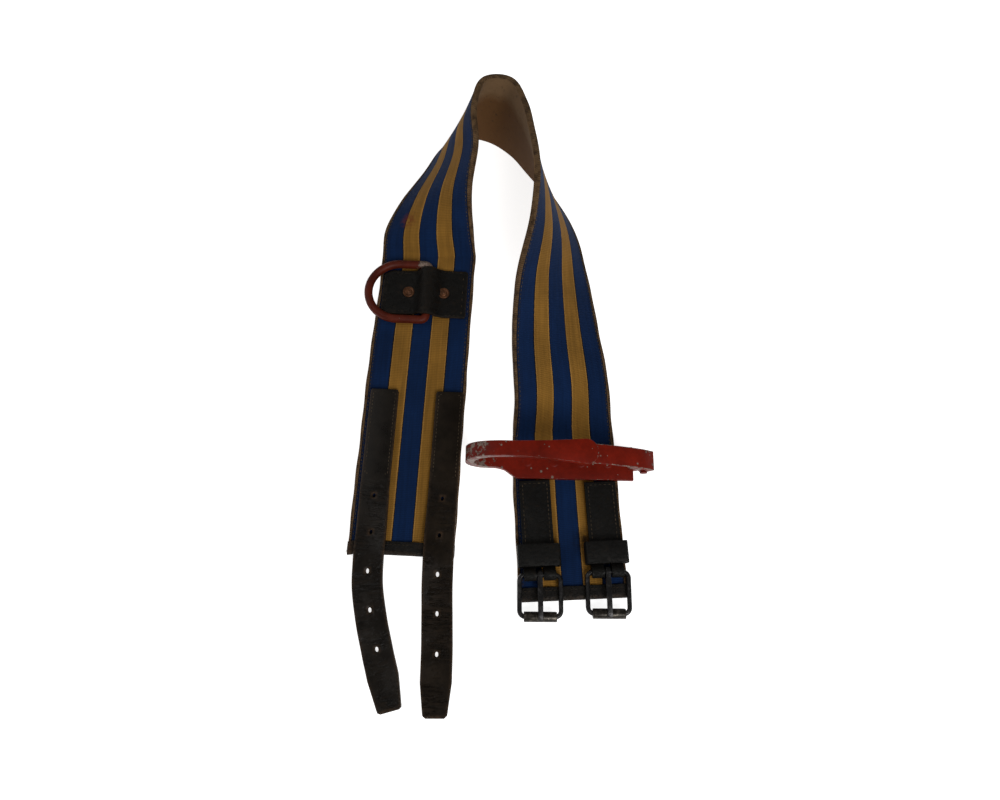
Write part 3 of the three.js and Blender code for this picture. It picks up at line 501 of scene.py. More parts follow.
class Band:
    """The belt's own coordinates: along and across from 0 to 1, and height over the lining."""

    def __init__(self, width):
        x, y, swing, lift = np.array(LAY, float).T
        swing, lift = np.radians(swing), np.radians(lift)
        flat = width * np.cos(lift)
        ground = np.stack([x, y, 0 * x], 1)
        reach = np.stack([flat * np.cos(swing), flat * np.sin(swing), width * np.sin(lift)], 1)
        self.width = width
        self.outer = Rail(ground)
        self.inner = Rail(ground + reach)
        self.length = self.outer.length
        self.shift = np.zeros(3)
        along, across = (g.ravel() for g in np.meshgrid(np.linspace(0, 1, 85), np.linspace(0, 1, 6)))
        edge = np.vstack([self.at(along, across, WEBBING_UNDER), self.at(along, across, WEBBING_TOP)])
        packed = np.array(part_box("webbing_band")[0]) / MM
        self.shift = packed - edge.min(0)
        self.shift[2] = 0
        self.left = self.end_frame(0, 0.1)
        self.right = self.end_frame(1, 0.9)

    def at(self, along, across, height):
        """Points on the band, in millimetres."""
        along, across, height = np.broadcast_arrays(*(np.asarray(v, float) for v in (along, across, height)))
        t = self.outer.by_length(along)
        outer, inner = self.outer.at(t), self.inner.at(t)
        inner[..., 2] = np.maximum(inner[..., 2], 0)
        ahead = (self.outer.ahead(t) * (1 - across[..., None])
                 + self.inner.ahead(t) * across[..., None])
        up = np.cross(inner - outer, ahead)
        up /= np.linalg.norm(up, axis=-1, keepdims=True)
        up[inner[..., 2] < 0.4] = (0, 0, 1)
        point = outer + (inner - outer) * across[..., None] + up * height[..., None]
        point[..., 2] = np.maximum(point[..., 2], 0)
        return point + self.shift

    def end_frame(self, end, inward):
        """The flat frame at one end: its middle at the origin, +y along the belt."""
        near, far = self.at(end, 0.5, 0), self.at(inward, 0.5, 0)
        heading = math.atan2(far[1] - near[1], far[0] - near[0]) - math.pi / 2
        place = Matrix.Translation(Vector((near[0], near[1], 0)) * MM)
        return place @ Matrix.Rotation(heading, 4, "Z")


@functools.lru_cache(maxsize=4)
def band_of(width):
    """The band for one belt width in millimetres."""
    return Band(width)


def band(sizes):
    """The band at the chosen width."""
    return band_of(round(sizes.belt_width / MM, 3))


def shifted(place, x, y, z=0):
    """A frame moved in its own directions by millimetres."""
    return place @ Matrix.Translation(Vector((x, y, z)) * MM)


def hook_frame(sizes):
    """The snap hook's own frame on the right arm."""
    place = shifted(band(sizes).right, *HOOK_PLACE, ON_BELT)
    return place @ Matrix.Rotation(math.radians(HOOK_TURN), 4, "Z")


def buckle_frame(sizes, side):
    """A buckle's own frame: heel bar at the origin, reaching to -y."""
    place = shifted(band(sizes).right, CHAPE_OFFSETS[side], *HEEL_BAR)
    place = place @ Matrix.Rotation(math.radians(BUCKLE_TILT), 4, "X")
    return place @ Matrix.Rotation(math.radians(BUCKLE_TURN), 4, "Z")


def chape_top(side):
    """How far from the belt's end a chape stops, just short of the hook's base."""
    turn = math.radians(HOOK_TURN)
    from_hook = CHAPE_OFFSETS[side] - HOOK_PLACE[0]
    edges = [HOOK_PLACE[1] + (from_hook + half) * math.tan(turn) for half in (-12.5, 12.5)]
    return min(edges) - 14 / math.cos(turn) - 0.8


# ---- material helpers ---------------------------------------------------------------------


def new_material(name, **values):
    """A material and its shader, with these values set on the shader's own sockets."""
    made = bpy.data.materials.new(name)
    made.use_nodes = True
    shader = made.node_tree.nodes["Principled BSDF"]
    for socket, value in values.items():
        shader.inputs[socket.replace("_", " ")].default_value = value
    return made, made.node_tree, shader


def node(tree, kind, inputs=None, **settings):
    """One node with its settings and inputs, a link where an input is another node's output."""
    made = tree.nodes.new("ShaderNode" + kind)
    for name, value in settings.items():
        setattr(made, name, value)
    for key, value in (inputs or {}).items():
        if isinstance(value, bpy.types.NodeSocket):
            tree.links.new(value, made.inputs[key])
        else:
            made.inputs[key].default_value = value
    return made


def maths(tree, operation, first, second=0.5, third=0.5):
    """One sum of numbers."""
    return node(tree, "Math", {0: first, 1: second, 2: third}, operation=operation).outputs[0]


def blended(tree, share, first, second, blend_type="MIX"):
    """Two colours mixed by a share."""
    first = (*first, 1) if isinstance(first, tuple) else first
    second = (*second, 1) if isinstance(second, tuple) else second
    inputs = {0: share, 6: first, 7: second}
    return node(tree, "Mix", inputs, data_type="RGBA", blend_type=blend_type).outputs[2]


def ranged(tree, value, low, high, to_low=0.0, to_high=1.0):
    """A number carried from one range to another and held inside it."""
    inputs = {"Value": value, "From Min": low, "From Max": high, "To Min": to_low, "To Max": to_high}
    return node(tree, "MapRange", inputs, clamp=True).outputs["Result"]


def noise(tree, vector, scale, detail=3.0, roughness=0.55, distortion=0.0):
    """Soft random patches from 0 to 1."""
    inputs = {"Vector": vector, "Scale": scale, "Detail": detail, "Roughness": roughness,
              "Distortion": distortion}
    return node(tree, "TexNoise", inputs).outputs[0]


def scaled(tree, vector, x, y, z):
    """A vector stretched differently each way."""
    inputs = {0: vector, 1: (x, y, z)}
    return node(tree, "VectorMath", inputs, operation="MULTIPLY").outputs[0]


def raised(tree, height, distance, strength=1.0, under=None):
    """Relief from a height of 0 to 1."""
    inputs = {"Height": height, "Distance": distance, "Strength": strength}
    if under is not None:
        inputs["Normal"] = under
    return node(tree, "Bump", inputs).outputs[0]


def object_place(tree):
    """The place on the object, in metres."""
    return node(tree, "TexCoord").outputs["Object"]


def kept(tree, name, output="Fac"):
    """A number kept on the piece's points."""
    return node(tree, "Attribute", attribute_name=name).outputs[output]


def near(tree, place, centre, radius, soft):
    """1 within a radius of one place on the object, 0 outside it."""
    distance = node(tree, "VectorMath", {0: place, 1: centre}, operation="DISTANCE").outputs["Value"]
    return ranged(tree, distance, radius + soft, radius - soft)


def grey(tree, value):
    """A number as a colour."""
    return node(tree, "CombineColor", {0: value, 1: value, 2: value}).outputs[0]


# ---- materials ----------------------------------------------------------------------------


def stripe_colours(tree, across, width, colours):
    """The webbing's stripes by the distance across it in millimetres."""
    navy, mustard = (*colours.navy, 1), (*colours.mustard, 1)
    dark, canvas = (*colours.border, 1), (*colours.canvas, 1)
    pale = (*(min(1.0, c * 1.35 + 0.012) for c in colours.mustard), 1)
    stops = [(0, canvas), (1.9, dark), (2.6, navy)]
    for start, end in ((19, 34), (51, 66)):
        stops += [(start - 0.8, dark), (start, pale), (start + 0.8, mustard)]
        stops += [(end - 0.8, pale), (end, dark), (end + 0.8, navy)]
    stops += [(82.4, dark), (83.1, canvas)]
    share = maths(tree, "DIVIDE", across, width)
    ramp = node(tree, "ValToRGB", {"Fac": share})
    ramp.color_ramp.interpolation = "CONSTANT"
    while len(ramp.color_ramp.elements) < len(stops):
        ramp.color_ramp.elements.new(1)
    for element, (place, colour) in zip(ramp.color_ramp.elements, stops):
        element.position = place / 85
        element.color = colour
    return ramp.outputs["Color"]


def webbing_material(sizes, colours):
    """Striped woven cotton with cross ribs, dark border threads, stains and handling dirt."""
    made, tree, shader = new_material("striped_webbing", Roughness=0.85, Specular_IOR_Level=0.08,
                                      Sheen_Weight=0.03, Sheen_Roughness=0.5)
    place = object_place(tree)
    lay = kept(tree, "lay", "Vector")
    split = node(tree, "SeparateXYZ", {0: lay}).outputs
    wobble = maths(tree, "MULTIPLY_ADD", noise(tree, lay, 0.35, 2.0), 0.5, -0.25)
    across = maths(tree, "ADD", split[0], wobble)
    colour = stripe_colours(tree, across, sizes.belt_width / MM, colours)
    ribs = maths(tree, "SINE", maths(tree, "MULTIPLY", split[1], 2 * math.pi / 1.5))
    warp = maths(tree, "SINE", maths(tree, "MULTIPLY", split[0], 2 * math.pi / 0.9))
    threads = maths(tree, "MULTIPLY_ADD", ribs, 0.30, 0.5)
    threads = maths(tree, "MULTIPLY_ADD", warp, 0.14, threads)
    fibre = noise(tree, place, 1500, 3.0, 0.7)
    threads = maths(tree, "ADD", threads, maths(tree, "MULTIPLY", fibre, 0.35))
    shade = ranged(tree, threads, 0.1, 1.1, 0.74, 1.14)
    colour = blended(tree, 1.0, colour, grey(tree, shade), "MULTIPLY")
    streaks = noise(tree, scaled(tree, lay, 0.5, 0.02, 1), 1.0, 3.0, 0.6)
    colour = blended(tree, 1.0, colour, grey(tree, ranged(tree, streaks, 0.3, 0.7, 0.82, 1.16)), "MULTIPLY")
    broad = noise(tree, place, 26, 3.0, 0.6)
    colour = blended(tree, 1.0, colour, grey(tree, ranged(tree, broad, 0.3, 0.7, 0.80, 1.14)), "MULTIPLY")
    edge = maths(tree, "ABSOLUTE", maths(tree, "SUBTRACT", split[0], 42.5))
    grime = maths(tree, "MULTIPLY", ranged(tree, edge, 36, 42), ranged(tree, broad, 0.35, 0.6))
    colour = blended(tree, maths(tree, "MULTIPLY", grime, 0.5), colour, (0.012, 0.010, 0.012))
    blot = ranged(tree, noise(tree, place, 210, 3.0), 0.38, 0.56)
    stain = maths(tree, "MULTIPLY", near(tree, lay, (21, 304, 0), 6, 4), blot)
    colour = blended(tree, maths(tree, "MULTIPLY", stain, 0.75), colour, (0.115, 0.020, 0.008))
    smudge = maths(tree, "MULTIPLY", near(tree, lay, (30, 860, 0), 7, 6), blot)
    colour = blended(tree, maths(tree, "MULTIPLY", smudge, 0.8), colour, (0.003, 0.004, 0.008))
    tree.links.new(colour, shader.inputs["Base Color"])
    tree.links.new(raised(tree, threads, 0.00035, 0.6), shader.inputs["Normal"])
    return made


def canvas_material(colours):
    """Plain woven canvas with random tone and dark spots of dirt, painted dark brown as painted shade except
    near its inner edge, which keeps its own pale colour as the painted lit side.
    """
    made, tree, shader = new_material("canvas_lining", Roughness=0.92, Specular_IOR_Level=0.08,
                                      Sheen_Weight=0.03, Sheen_Roughness=0.5)
    place = object_place(tree)
    lay = kept(tree, "lay", "Vector")
    split = node(tree, "SeparateXYZ", {0: lay}).outputs
    ribs = maths(tree, "SINE", maths(tree, "MULTIPLY", split[1], 2 * math.pi / 1.1))
    warp = maths(tree, "SINE", maths(tree, "MULTIPLY", split[0], 2 * math.pi / 1.1))
    threads = maths(tree, "MULTIPLY_ADD", maths(tree, "MULTIPLY", ribs, warp), 0.35, 0.5)
    threads = maths(tree, "ADD", threads, maths(tree, "MULTIPLY", noise(tree, place, 1300, 3.0, 0.7), 0.4))
    broad = noise(tree, place, 34, 4.0, 0.62)
    # Painted shade: past a wobbly line across the lining it is painted dark brown; nearer the inner edge it
    # keeps its pale colour as the painted lit side.
    painted_shade_across = maths(tree, "MULTIPLY_ADD", broad, 22, split[0])
    pale = blended(tree, ranged(tree, broad, 0.35, 0.68), tuple(c * 0.78 for c in colours.canvas),
                   tuple(colours.canvas))
    # The dark brown mixed in here is painted shade.
    colour = blended(tree, ranged(tree, painted_shade_across, 66, 78), (0.092, 0.042, 0.0135), pale)
    spots = noise(tree, place, 330, 2.0, 0.6)
    colour = blended(tree, ranged(tree, spots, 0.60, 0.72, 0, 0.5), colour, (0.030, 0.018, 0.010))
    colour = blended(tree, 1.0, colour, grey(tree, ranged(tree, threads, 0.2, 1.1, 0.78, 1.16)), "MULTIPLY")
    tree.links.new(colour, shader.inputs["Base Color"])
    tree.links.new(raised(tree, threads, 0.0003, 0.6), shader.inputs["Normal"])
    return made


def edge_material(colours):
    """Canvas turned over the belt's edge, rubbed dark, with its slanting threads showing."""
    made, tree, shader = new_material("turned_edge", Roughness=0.85, Specular_IOR_Level=0.10)
    place = object_place(tree)
    along = node(tree, "SeparateXYZ", {0: kept(tree, "lay", "Vector")}).outputs[1]
    ribs = maths(tree, "SINE", maths(tree, "MULTIPLY", along, 2 * math.pi / 1.6))
    patches = noise(tree, place, 160, 4.0, 0.65)
    colour = blended(tree, ranged(tree, patches, 0.34, 0.60), (0.042, 0.024, 0.013),
                     tuple(c * 0.8 for c in colours.canvas))
    colour = blended(tree, 1.0, colour, grey(tree, ranged(tree, ribs, -1, 1, 0.62, 1.2)), "MULTIPLY")
    tree.links.new(colour, shader.inputs["Base Color"])
    tree.links.new(raised(tree, ribs, 0.0003, 0.6), shader.inputs["Normal"])
    return made


def leather_material(name, base, wear_and_highlight, gloss, shine, creased):
    """Blackened leather: grain, creases, rubbed edges and a waxy shine, with painted shade along the fold
    lines and painted highlights on the fold ridges.
    """
    made, tree, shader = new_material(name, Roughness=gloss, Specular_IOR_Level=shine)
    place = object_place(tree)
    rub = kept(tree, "rubbed")
    grain = node(tree, "TexVoronoi", {"Vector": place, "Scale": 900.0, "Randomness": 1.0}).outputs["Distance"]
    fine = noise(tree, place, 1400, 2.0, 0.6)
    broad = noise(tree, place, 70, 4.0, 0.6)
    smooth = 0.0
    if creased:
        lay = kept(tree, "lay", "Vector")
        folds = noise(tree, scaled(tree, lay, 0.06, 0.42, 1), 1.0, 4.0, 0.55, 0.8)
        sewn = ranged(tree, node(tree, "SeparateXYZ", {0: lay}).outputs[1], 14, 0)
        smooth = maths(tree, "MAXIMUM", sewn, ranged(tree, noise(tree, place, 45), 0.44, 0.56))
    else:
        folds = noise(tree, scaled(tree, place, 1, 1.4, 1), 190, 5.0, 0.6, 0.6)
    lines = maths(tree, "ABSOLUTE", maths(tree, "SUBTRACT", folds, 0.5))
    # crease is 0 along the fold lines; it drives their bump and also a painted shade in the colour below.
    crease = maths(tree, "MAXIMUM", ranged(tree, lines, 0.0, 0.05), smooth)
    patchy = ranged(tree, broad, 0.35, 0.65)
    colour = blended(tree, patchy, tuple(c * 0.7 for c in base), tuple(c * 1.5 for c in base))
    # Painted highlight: the fold ridges are lightened towards the wear colour, less where the leather lies
    # smooth.
    lifted = maths(tree, "MULTIPLY", ranged(tree, folds, 0.55, 0.78), 0.20)
    lifted = maths(tree, "MULTIPLY", lifted, maths(tree, "SUBTRACT", 1.0, smooth))
    colour = blended(tree, lifted, colour, tuple(c * 0.8 for c in wear_and_highlight))
    scuff = maths(tree, "MULTIPLY", rub, ranged(tree, noise(tree, place, 420, 4.0, 0.7), 0.33, 0.58))
    colour = blended(tree, scuff, colour, wear_and_highlight)
    # Painted shade: the colour is darkened down to 0.6 along the fold lines.
    colour = blended(tree, 1.0, colour, grey(tree, ranged(tree, crease, 0, 1, 0.6, 1.0)), "MULTIPLY")
    tree.links.new(colour, shader.inputs["Base Color"])
    rough = maths(tree, "MULTIPLY_ADD", broad, 0.30, gloss - 0.15)
    tree.links.new(maths(tree, "ADD", rough, maths(tree, "MULTIPLY", scuff, 0.2)), shader.inputs["Roughness"])
    height = maths(tree, "MULTIPLY_ADD", grain, 0.22, maths(tree, "MULTIPLY", fine, 0.12))
    small = raised(tree, height, 0.00035, 0.5)
    depth, strength = (0.0007, 0.6) if creased else (0.0005, 0.5)
    tree.links.new(raised(tree, crease, depth, strength, small), shader.inputs["Normal"])
    return made


def paint_material(name, red, bare, wear, specks):
    """Red paint, scuffed and chipped down to bare metal, more so where it is worn."""
    made, tree, shader = new_material(name, Roughness=0.42, Specular_IOR_Level=0.14)
    place = object_place(tree)
    rub = kept(tree, "rubbed")
    flakes = noise(tree, place, 260, 5.0, 0.66, 0.4)
    broad = noise(tree, place, 55, 3.0, 0.6)
    need = maths(tree, "MULTIPLY_ADD", rub, -0.30, 0.78 - wear)
    need = maths(tree, "SUBTRACT", need, maths(tree, "MULTIPLY", maths(tree, "SUBTRACT", broad, 0.5), 0.30))
    past = maths(tree, "SUBTRACT", flakes, need)
    chip = ranged(tree, past, 0.0, 0.012)
    rim = ranged(tree, past, -0.022, 0.0)
    for scale, radius, share in specks:
        cells = node(tree, "TexVoronoi", {"Vector": place, "Scale": scale}).outputs
        dots = ranged(tree, cells["Distance"], radius, radius - 0.04)
        chance = node(tree, "SeparateColor", {0: cells["Color"]}).outputs[0]
        sparse = ranged(tree, chance, 1 - share, 1.01 - share)
        chip = maths(tree, "MAXIMUM", chip, maths(tree, "MULTIPLY", dots, sparse))
    dull, bright = tuple(c * 0.72 for c in red), tuple(c * 1.15 for c in red)
    paint = blended(tree, ranged(tree, broad, 0.35, 0.65), dull, bright)
    cloud = noise(tree, place, 420, 3.0, 0.6)
    paint = blended(tree, 1.0, paint, grey(tree, ranged(tree, cloud, 0.3, 0.7, 0.86, 1.1)), "MULTIPLY")
    paint = blended(tree, maths(tree, "MULTIPLY", rim, 0.75), paint, (0.030, 0.006, 0.003))
    shaded = tuple(c * 0.45 for c in bare)
    metal = blended(tree, ranged(tree, cloud, 0.35, 0.65), shaded, bare)
    colour = blended(tree, chip, paint, metal)
    tree.links.new(colour, shader.inputs["Base Color"])
    tree.links.new(maths(tree, "MULTIPLY", chip, 0.35), shader.inputs["Metallic"])
    rough = maths(tree, "MULTIPLY_ADD", broad, 0.22, 0.34)
    tree.links.new(rough, shader.inputs["Roughness"])
    height = maths(tree, "MULTIPLY_ADD", chip, -0.7, maths(tree, "MULTIPLY", cloud, 0.3))
    tree.links.new(raised(tree, height, 0.00025, 0.55), shader.inputs["Normal"])
    return made


def metal_material(name, colour, roughness, bright, metallic):
    """Old metal: dull and dark, brighter where it rubs."""
    made, tree, shader = new_material(name, Metallic=metallic, Roughness=roughness, Specular_IOR_Level=0.4)
    place = object_place(tree)
    patches = noise(tree, place, 240, 4.0, 0.62)
    pits = noise(tree, place, 1100, 3.0, 0.6)
    rub = ranged(tree, patches, 0.50, 0.66)
    tone = blended(tree, ranged(tree, pits, 0.35, 0.65), tuple(c * 0.55 for c in colour), tuple(colour))
    tone = blended(tree, maths(tree, "MULTIPLY", rub, 0.7), tone, tuple(min(1, c * bright) for c in colour))
    tree.links.new(tone, shader.inputs["Base Color"])
    tree.links.new(maths(tree, "MULTIPLY_ADD", patches, -0.25, roughness + 0.12), shader.inputs["Roughness"])
    tree.links.new(raised(tree, pits, 0.0002, 0.45), shader.inputs["Normal"])
    return made


def thread_material(name, colour):
    """Waxed sewing thread, darkened with age."""
    made, tree, shader = new_material(name, Roughness=0.7, Specular_IOR_Level=0.2)
    place = object_place(tree)
    patches = noise(tree, place, 120, 3.0, 0.6)
    tone = blended(tree, ranged(tree, patches, 0.35, 0.6), tuple(c * 0.25 for c in colour), tuple(colour))
    twist = noise(tree, place, 2600, 2.0, 0.6)
    tree.links.new(tone, shader.inputs["Base Color"])
    tree.links.new(raised(tree, twist, 0.0001, 0.5), shader.inputs["Normal"])
    return made


def floor_material(colours):
    """A plain pale table that stays pale in soft shade."""
    made, _, shader = new_material("pale_table", Roughness=0.9, Specular_IOR_Level=0.1,
                                   Emission_Color=(1, 1, 1, 1), Emission_Strength=0.80)
    shader.inputs["Base Color"].default_value = (*colours.floor, 1)
    return made


SPECKS = ((115.0, 0.17, 0.34), (240.0, 0.20, 0.26))


@functools.lru_cache(maxsize=1)
def finishes():
    """Every material of the belt, made once."""
    sizes, colours = bpy.context.scene.belt_sizes, bpy.context.scene.belt_colours
    leather, strap = tuple(colours.black_leather), tuple(colours.strap_leather)
    wear_and_highlight, red, bare = tuple(colours.wear_and_highlight_leather), tuple(colours.red), tuple(colours.bare)
    brown = (strap[0] * 1.35, strap[1] * 1.2, strap[2])
    return {
        "webbing": webbing_material(sizes, colours),
        "canvas": canvas_material(colours),
        "edge": edge_material(colours),
        "leather": leather_material("black_leather", leather, wear_and_highlight, 0.52, 0.15, False),
        "strap": leather_material("strap_leather", strap, wear_and_highlight, 0.32, 0.17, True),
        "brown_strap": leather_material("brown_strap_leather", brown, wear_and_highlight, 0.42, 0.10, True),
        "paint": paint_material("red_paint", red, bare, 0.0, SPECKS),
        "paint_edge": paint_material("red_paint_edge", red, bare, 0.27, SPECKS),
        "old_paint": paint_material("old_red_paint", tuple(colours.worn_red), bare, 0.0, ()),
        "copper": metal_material("old_copper", tuple(colours.copper), 0.42, 1.7, 0.6),
        "iron": metal_material("black_iron", tuple(colours.iron), 0.32, 4.0, 0.6),
        "steel": metal_material("dull_steel", tuple(colours.steel), 0.34, 4.0, 0.7),
        "thread": thread_material("waxed_thread", tuple(colours.thread)),
        "dark_thread": thread_material("dark_thread", tuple(c * 0.35 for c in colours.thread)),
    }


# ---- the pieces ---------------------------------------------------------------------------


class BELT_OT_webbing(bpy.types.Operator):
    """Lay the striped webbing"""

    bl_idname = "belt.webbing"
    bl_label = "Webbing"

    def execute(self, context):
        sizes = context.scene.belt_sizes
        lie = band(sizes)
        cloth = flat_grid("webbing", 34, 460)
        across, along, _ = points_of(cloth).T
        mm_across, mm_along = across * lie.width, along * lie.length
        remember(cloth, "lay", np.stack([mm_across, mm_along, 0 * across], 1))
        dips = np.sin(mm_along / 13 + 1.7 * np.sin(mm_across / 21)) * np.sin(mm_across / 17 + mm_along / 61)
        place = lie.at(along, across, WEBBING_TOP - 0.16 + 0.16 * dips)
        move_points(cloth, place)
        thicken(cloth, sizes.webbing_thickness / MM)
        settle(cloth, Matrix())
        finish_piece(cloth, finishes()["webbing"], "belt", ["webbing_band"])
        return {"FINISHED"}


class BELT_OT_lining(bpy.types.Operator):
    """Lay the canvas lining under the webbing"""

    bl_idname = "belt.lining"
    bl_label = "Lining"

    def execute(self, context):
        sizes = context.scene.belt_sizes
        lie = band(sizes)
        cloth = flat_grid("lining", 24, 320)
        across, along, _ = points_of(cloth).T
        inset = 9.3 / lie.length
        along = inset + along * (1 - 2 * inset)
        remember(cloth, "lay", np.stack([across * lie.width, along * lie.length, 0 * across], 1))
        move_points(cloth, lie.at(along, across, 2.15))
        thicken(cloth, sizes.lining_thickness / MM)
        settle(cloth, Matrix())
        finish_piece(cloth, finishes()["canvas"], "belt", ["lining_band"])
        return {"FINISHED"}


class BELT_OT_turned_edges(bpy.types.Operator):
    """Turn the lining over both edges of the webbing and stitch it down"""

    bl_idname = "belt.turned_edges"
    bl_label = "Turned Edges"

    def execute(self, context):
        sizes = context.scene.belt_sizes
        lie = band(sizes)
        half = sizes.edge_width / MM / 2
        for name, edge, way in (("outer", 0.0, 1), ("inner", 1.0, -1)):
            def place(turn, along):
                angle = 2 * math.pi * turn
                sideways = np.sign(np.cos(angle)) * np.abs(np.cos(angle)) ** 0.7 * half
                upwards = np.sign(np.sin(angle)) * np.abs(np.sin(angle)) ** 0.7 * 2.75
                wave = 0.22 * np.sin(along * 151) + 0.15 * np.sin(along * 67 + 1)
                middle = half * 0.55 + wave
                across = edge + way * (middle + sideways) / lie.width
                return lie.at(0.0015 + along * 0.997, across, 2.85 + upwards)

            roll = tube(f"turned_edge_{name}", 12, 420, place)
            remember(roll, "lay", self.run_of(roll, lie))
            settle(roll, Matrix())
            finish_piece(roll, finishes()["edge"], "belt", degrees=60)
            places = self.edge_stitches(lie, edge + way * 3.3 / lie.width, sizes)
            row = stitches(f"edge_stitches_{name}", places, sizes)
            settle(row, Matrix())
            finish_piece(row, finishes()["thread"], "belt", degrees=80)
        return {"FINISHED"}

    def run_of(self, roll, lie):
        """Distance along the belt for each point of a turned edge."""
        points = points_of(roll)
        fine = np.linspace(0, 1, 900)
        line = lie.at(fine, 0.5, 3.0)
        nearest = np.array([np.argmin(((line - p) ** 2).sum(1)) for p in points])
        along = fine[nearest] * lie.length
        return np.stack([0 * along, along, 0 * along], 1)

    def edge_stitches(self, lie, across, sizes):
        """Places of the stitches that run beside an edge."""
        count = int((lie.length - 24) / (sizes.stitch_pitch / MM))
        along = (12 + (np.arange(count) + 0.5) * (lie.length - 24) / count) / lie.length
        points = lie.at(along, across, WEBBING_TOP + 0.05)
        ahead = lie.at(along + 1e-3, across, WEBBING_TOP + 0.05) - points
        above = lie.at(along, across, WEBBING_TOP + 2) - points
        return list(zip(points, ahead, above))


class BELT_OT_bindings(bpy.types.Operator):
    """Fold a leather binding over each end of the band"""

    bl_idname = "belt.bindings"
    bl_label = "End Bindings"

    FOLD = ((9.0, 6.05), (5.0, 6.05), (1.5, 6.0), (0.1, 5.7), (-0.75, 4.9), (-1.05, 3.4),
            (-0.75, 1.8), (0.1, 0.95), (1.5, 0.68), (5.0, 0.66), (9.0, 0.66))

    def execute(self, context):
        sizes = context.scene.belt_sizes
        lie = band(sizes)
        fold = Rail([(y, z, 0) for y, z in self.FOLD])
        width = lie.width
        for side, place in (("left", lie.left), ("right", lie.right)):
            leather = flat_grid(f"end_binding_{side}_leather", 44, 26)
            across, down, _ = points_of(leather).T
            line = fold.at(fold.by_length(down))
            x = (0.5 - across) * (width + 0.6)
            ragged = np.where(down < 0.08, 0.12 * np.sin(across * 37), 0)
            frayed = np.clip(1 - (np.abs(x + width / 2) / 7), 0, 1) * (side == "left")
            y = line[:, 0] + ragged - 1.6 * frayed * np.abs(np.sin(across * 140))
            z = line[:, 1] + 0.25 * np.sin(x / 6) * (line[:, 1] > 3)
            at_fold = np.abs(line[:, 0] + 0.3) < 1.2
            remember(leather, "rubbed", np.clip(0.05 + 0.9 * frayed + 0.25 * at_fold, 0, 1))
            remember(leather, "lay", np.stack([x, line[:, 0], 0 * x], 1))
            move_points(leather, np.stack([x, y, z], 1))
            apply_modifier(leather, "SOLIDIFY", thickness=1.2, offset=0, use_even_offset=False)
            weld(leather)
            round_edges(leather, 0.3, 2, 50)
            settle(leather, place)
            finish_piece(leather, finishes()["leather"], "belt", [f"end_binding_{side}"])
            places = seam((-width / 2 + 3, 6.4), (width / 2 - 3, 6.4), 6.72, sizes)
            row = stitches(f"binding_stitches_{side}", places, sizes)
            settle(row, place)
            finish_piece(row, finishes()["dark_thread"], "belt", degrees=80)
        self.frayed_corner(lie)
        return {"FINISHED"}

    def frayed_corner(self, lie):
        """Loose thread ends at the left arm's outer corner."""
        chance = random.Random(7)
        hairs = []
        for number in range(12):
            start = np.array([-lie.width / 2 + chance.uniform(-0.5, 4), chance.uniform(-1, 3), 4.6])
            way = np.array([chance.uniform(-2.6, 0.8), chance.uniform(-3.4, 0.6), chance.uniform(-0.6, 1.2)])
            bend = np.array([chance.uniform(-1, 1), chance.uniform(-1, 1), chance.uniform(-0.8, 0.2)])

            def place(turn, along, start=start, way=way, bend=bend):
                angle = 2 * math.pi * turn
                middle = start + way * along[:, None] + bend * (along ** 2)[:, None]
                radius = 0.20 * (1 - 0.6 * along)
                ring = np.stack([np.cos(angle), 0 * angle, np.sin(angle)], 1) * radius[:, None]
                return middle + ring

            hairs.append(tube(f"hair_{number}", 5, 6, place))
        fringe = joined("frayed_threads", hairs)
        settle(fringe, lie.left)
        finish_piece(fringe, finishes()["thread"], "belt", degrees=80)


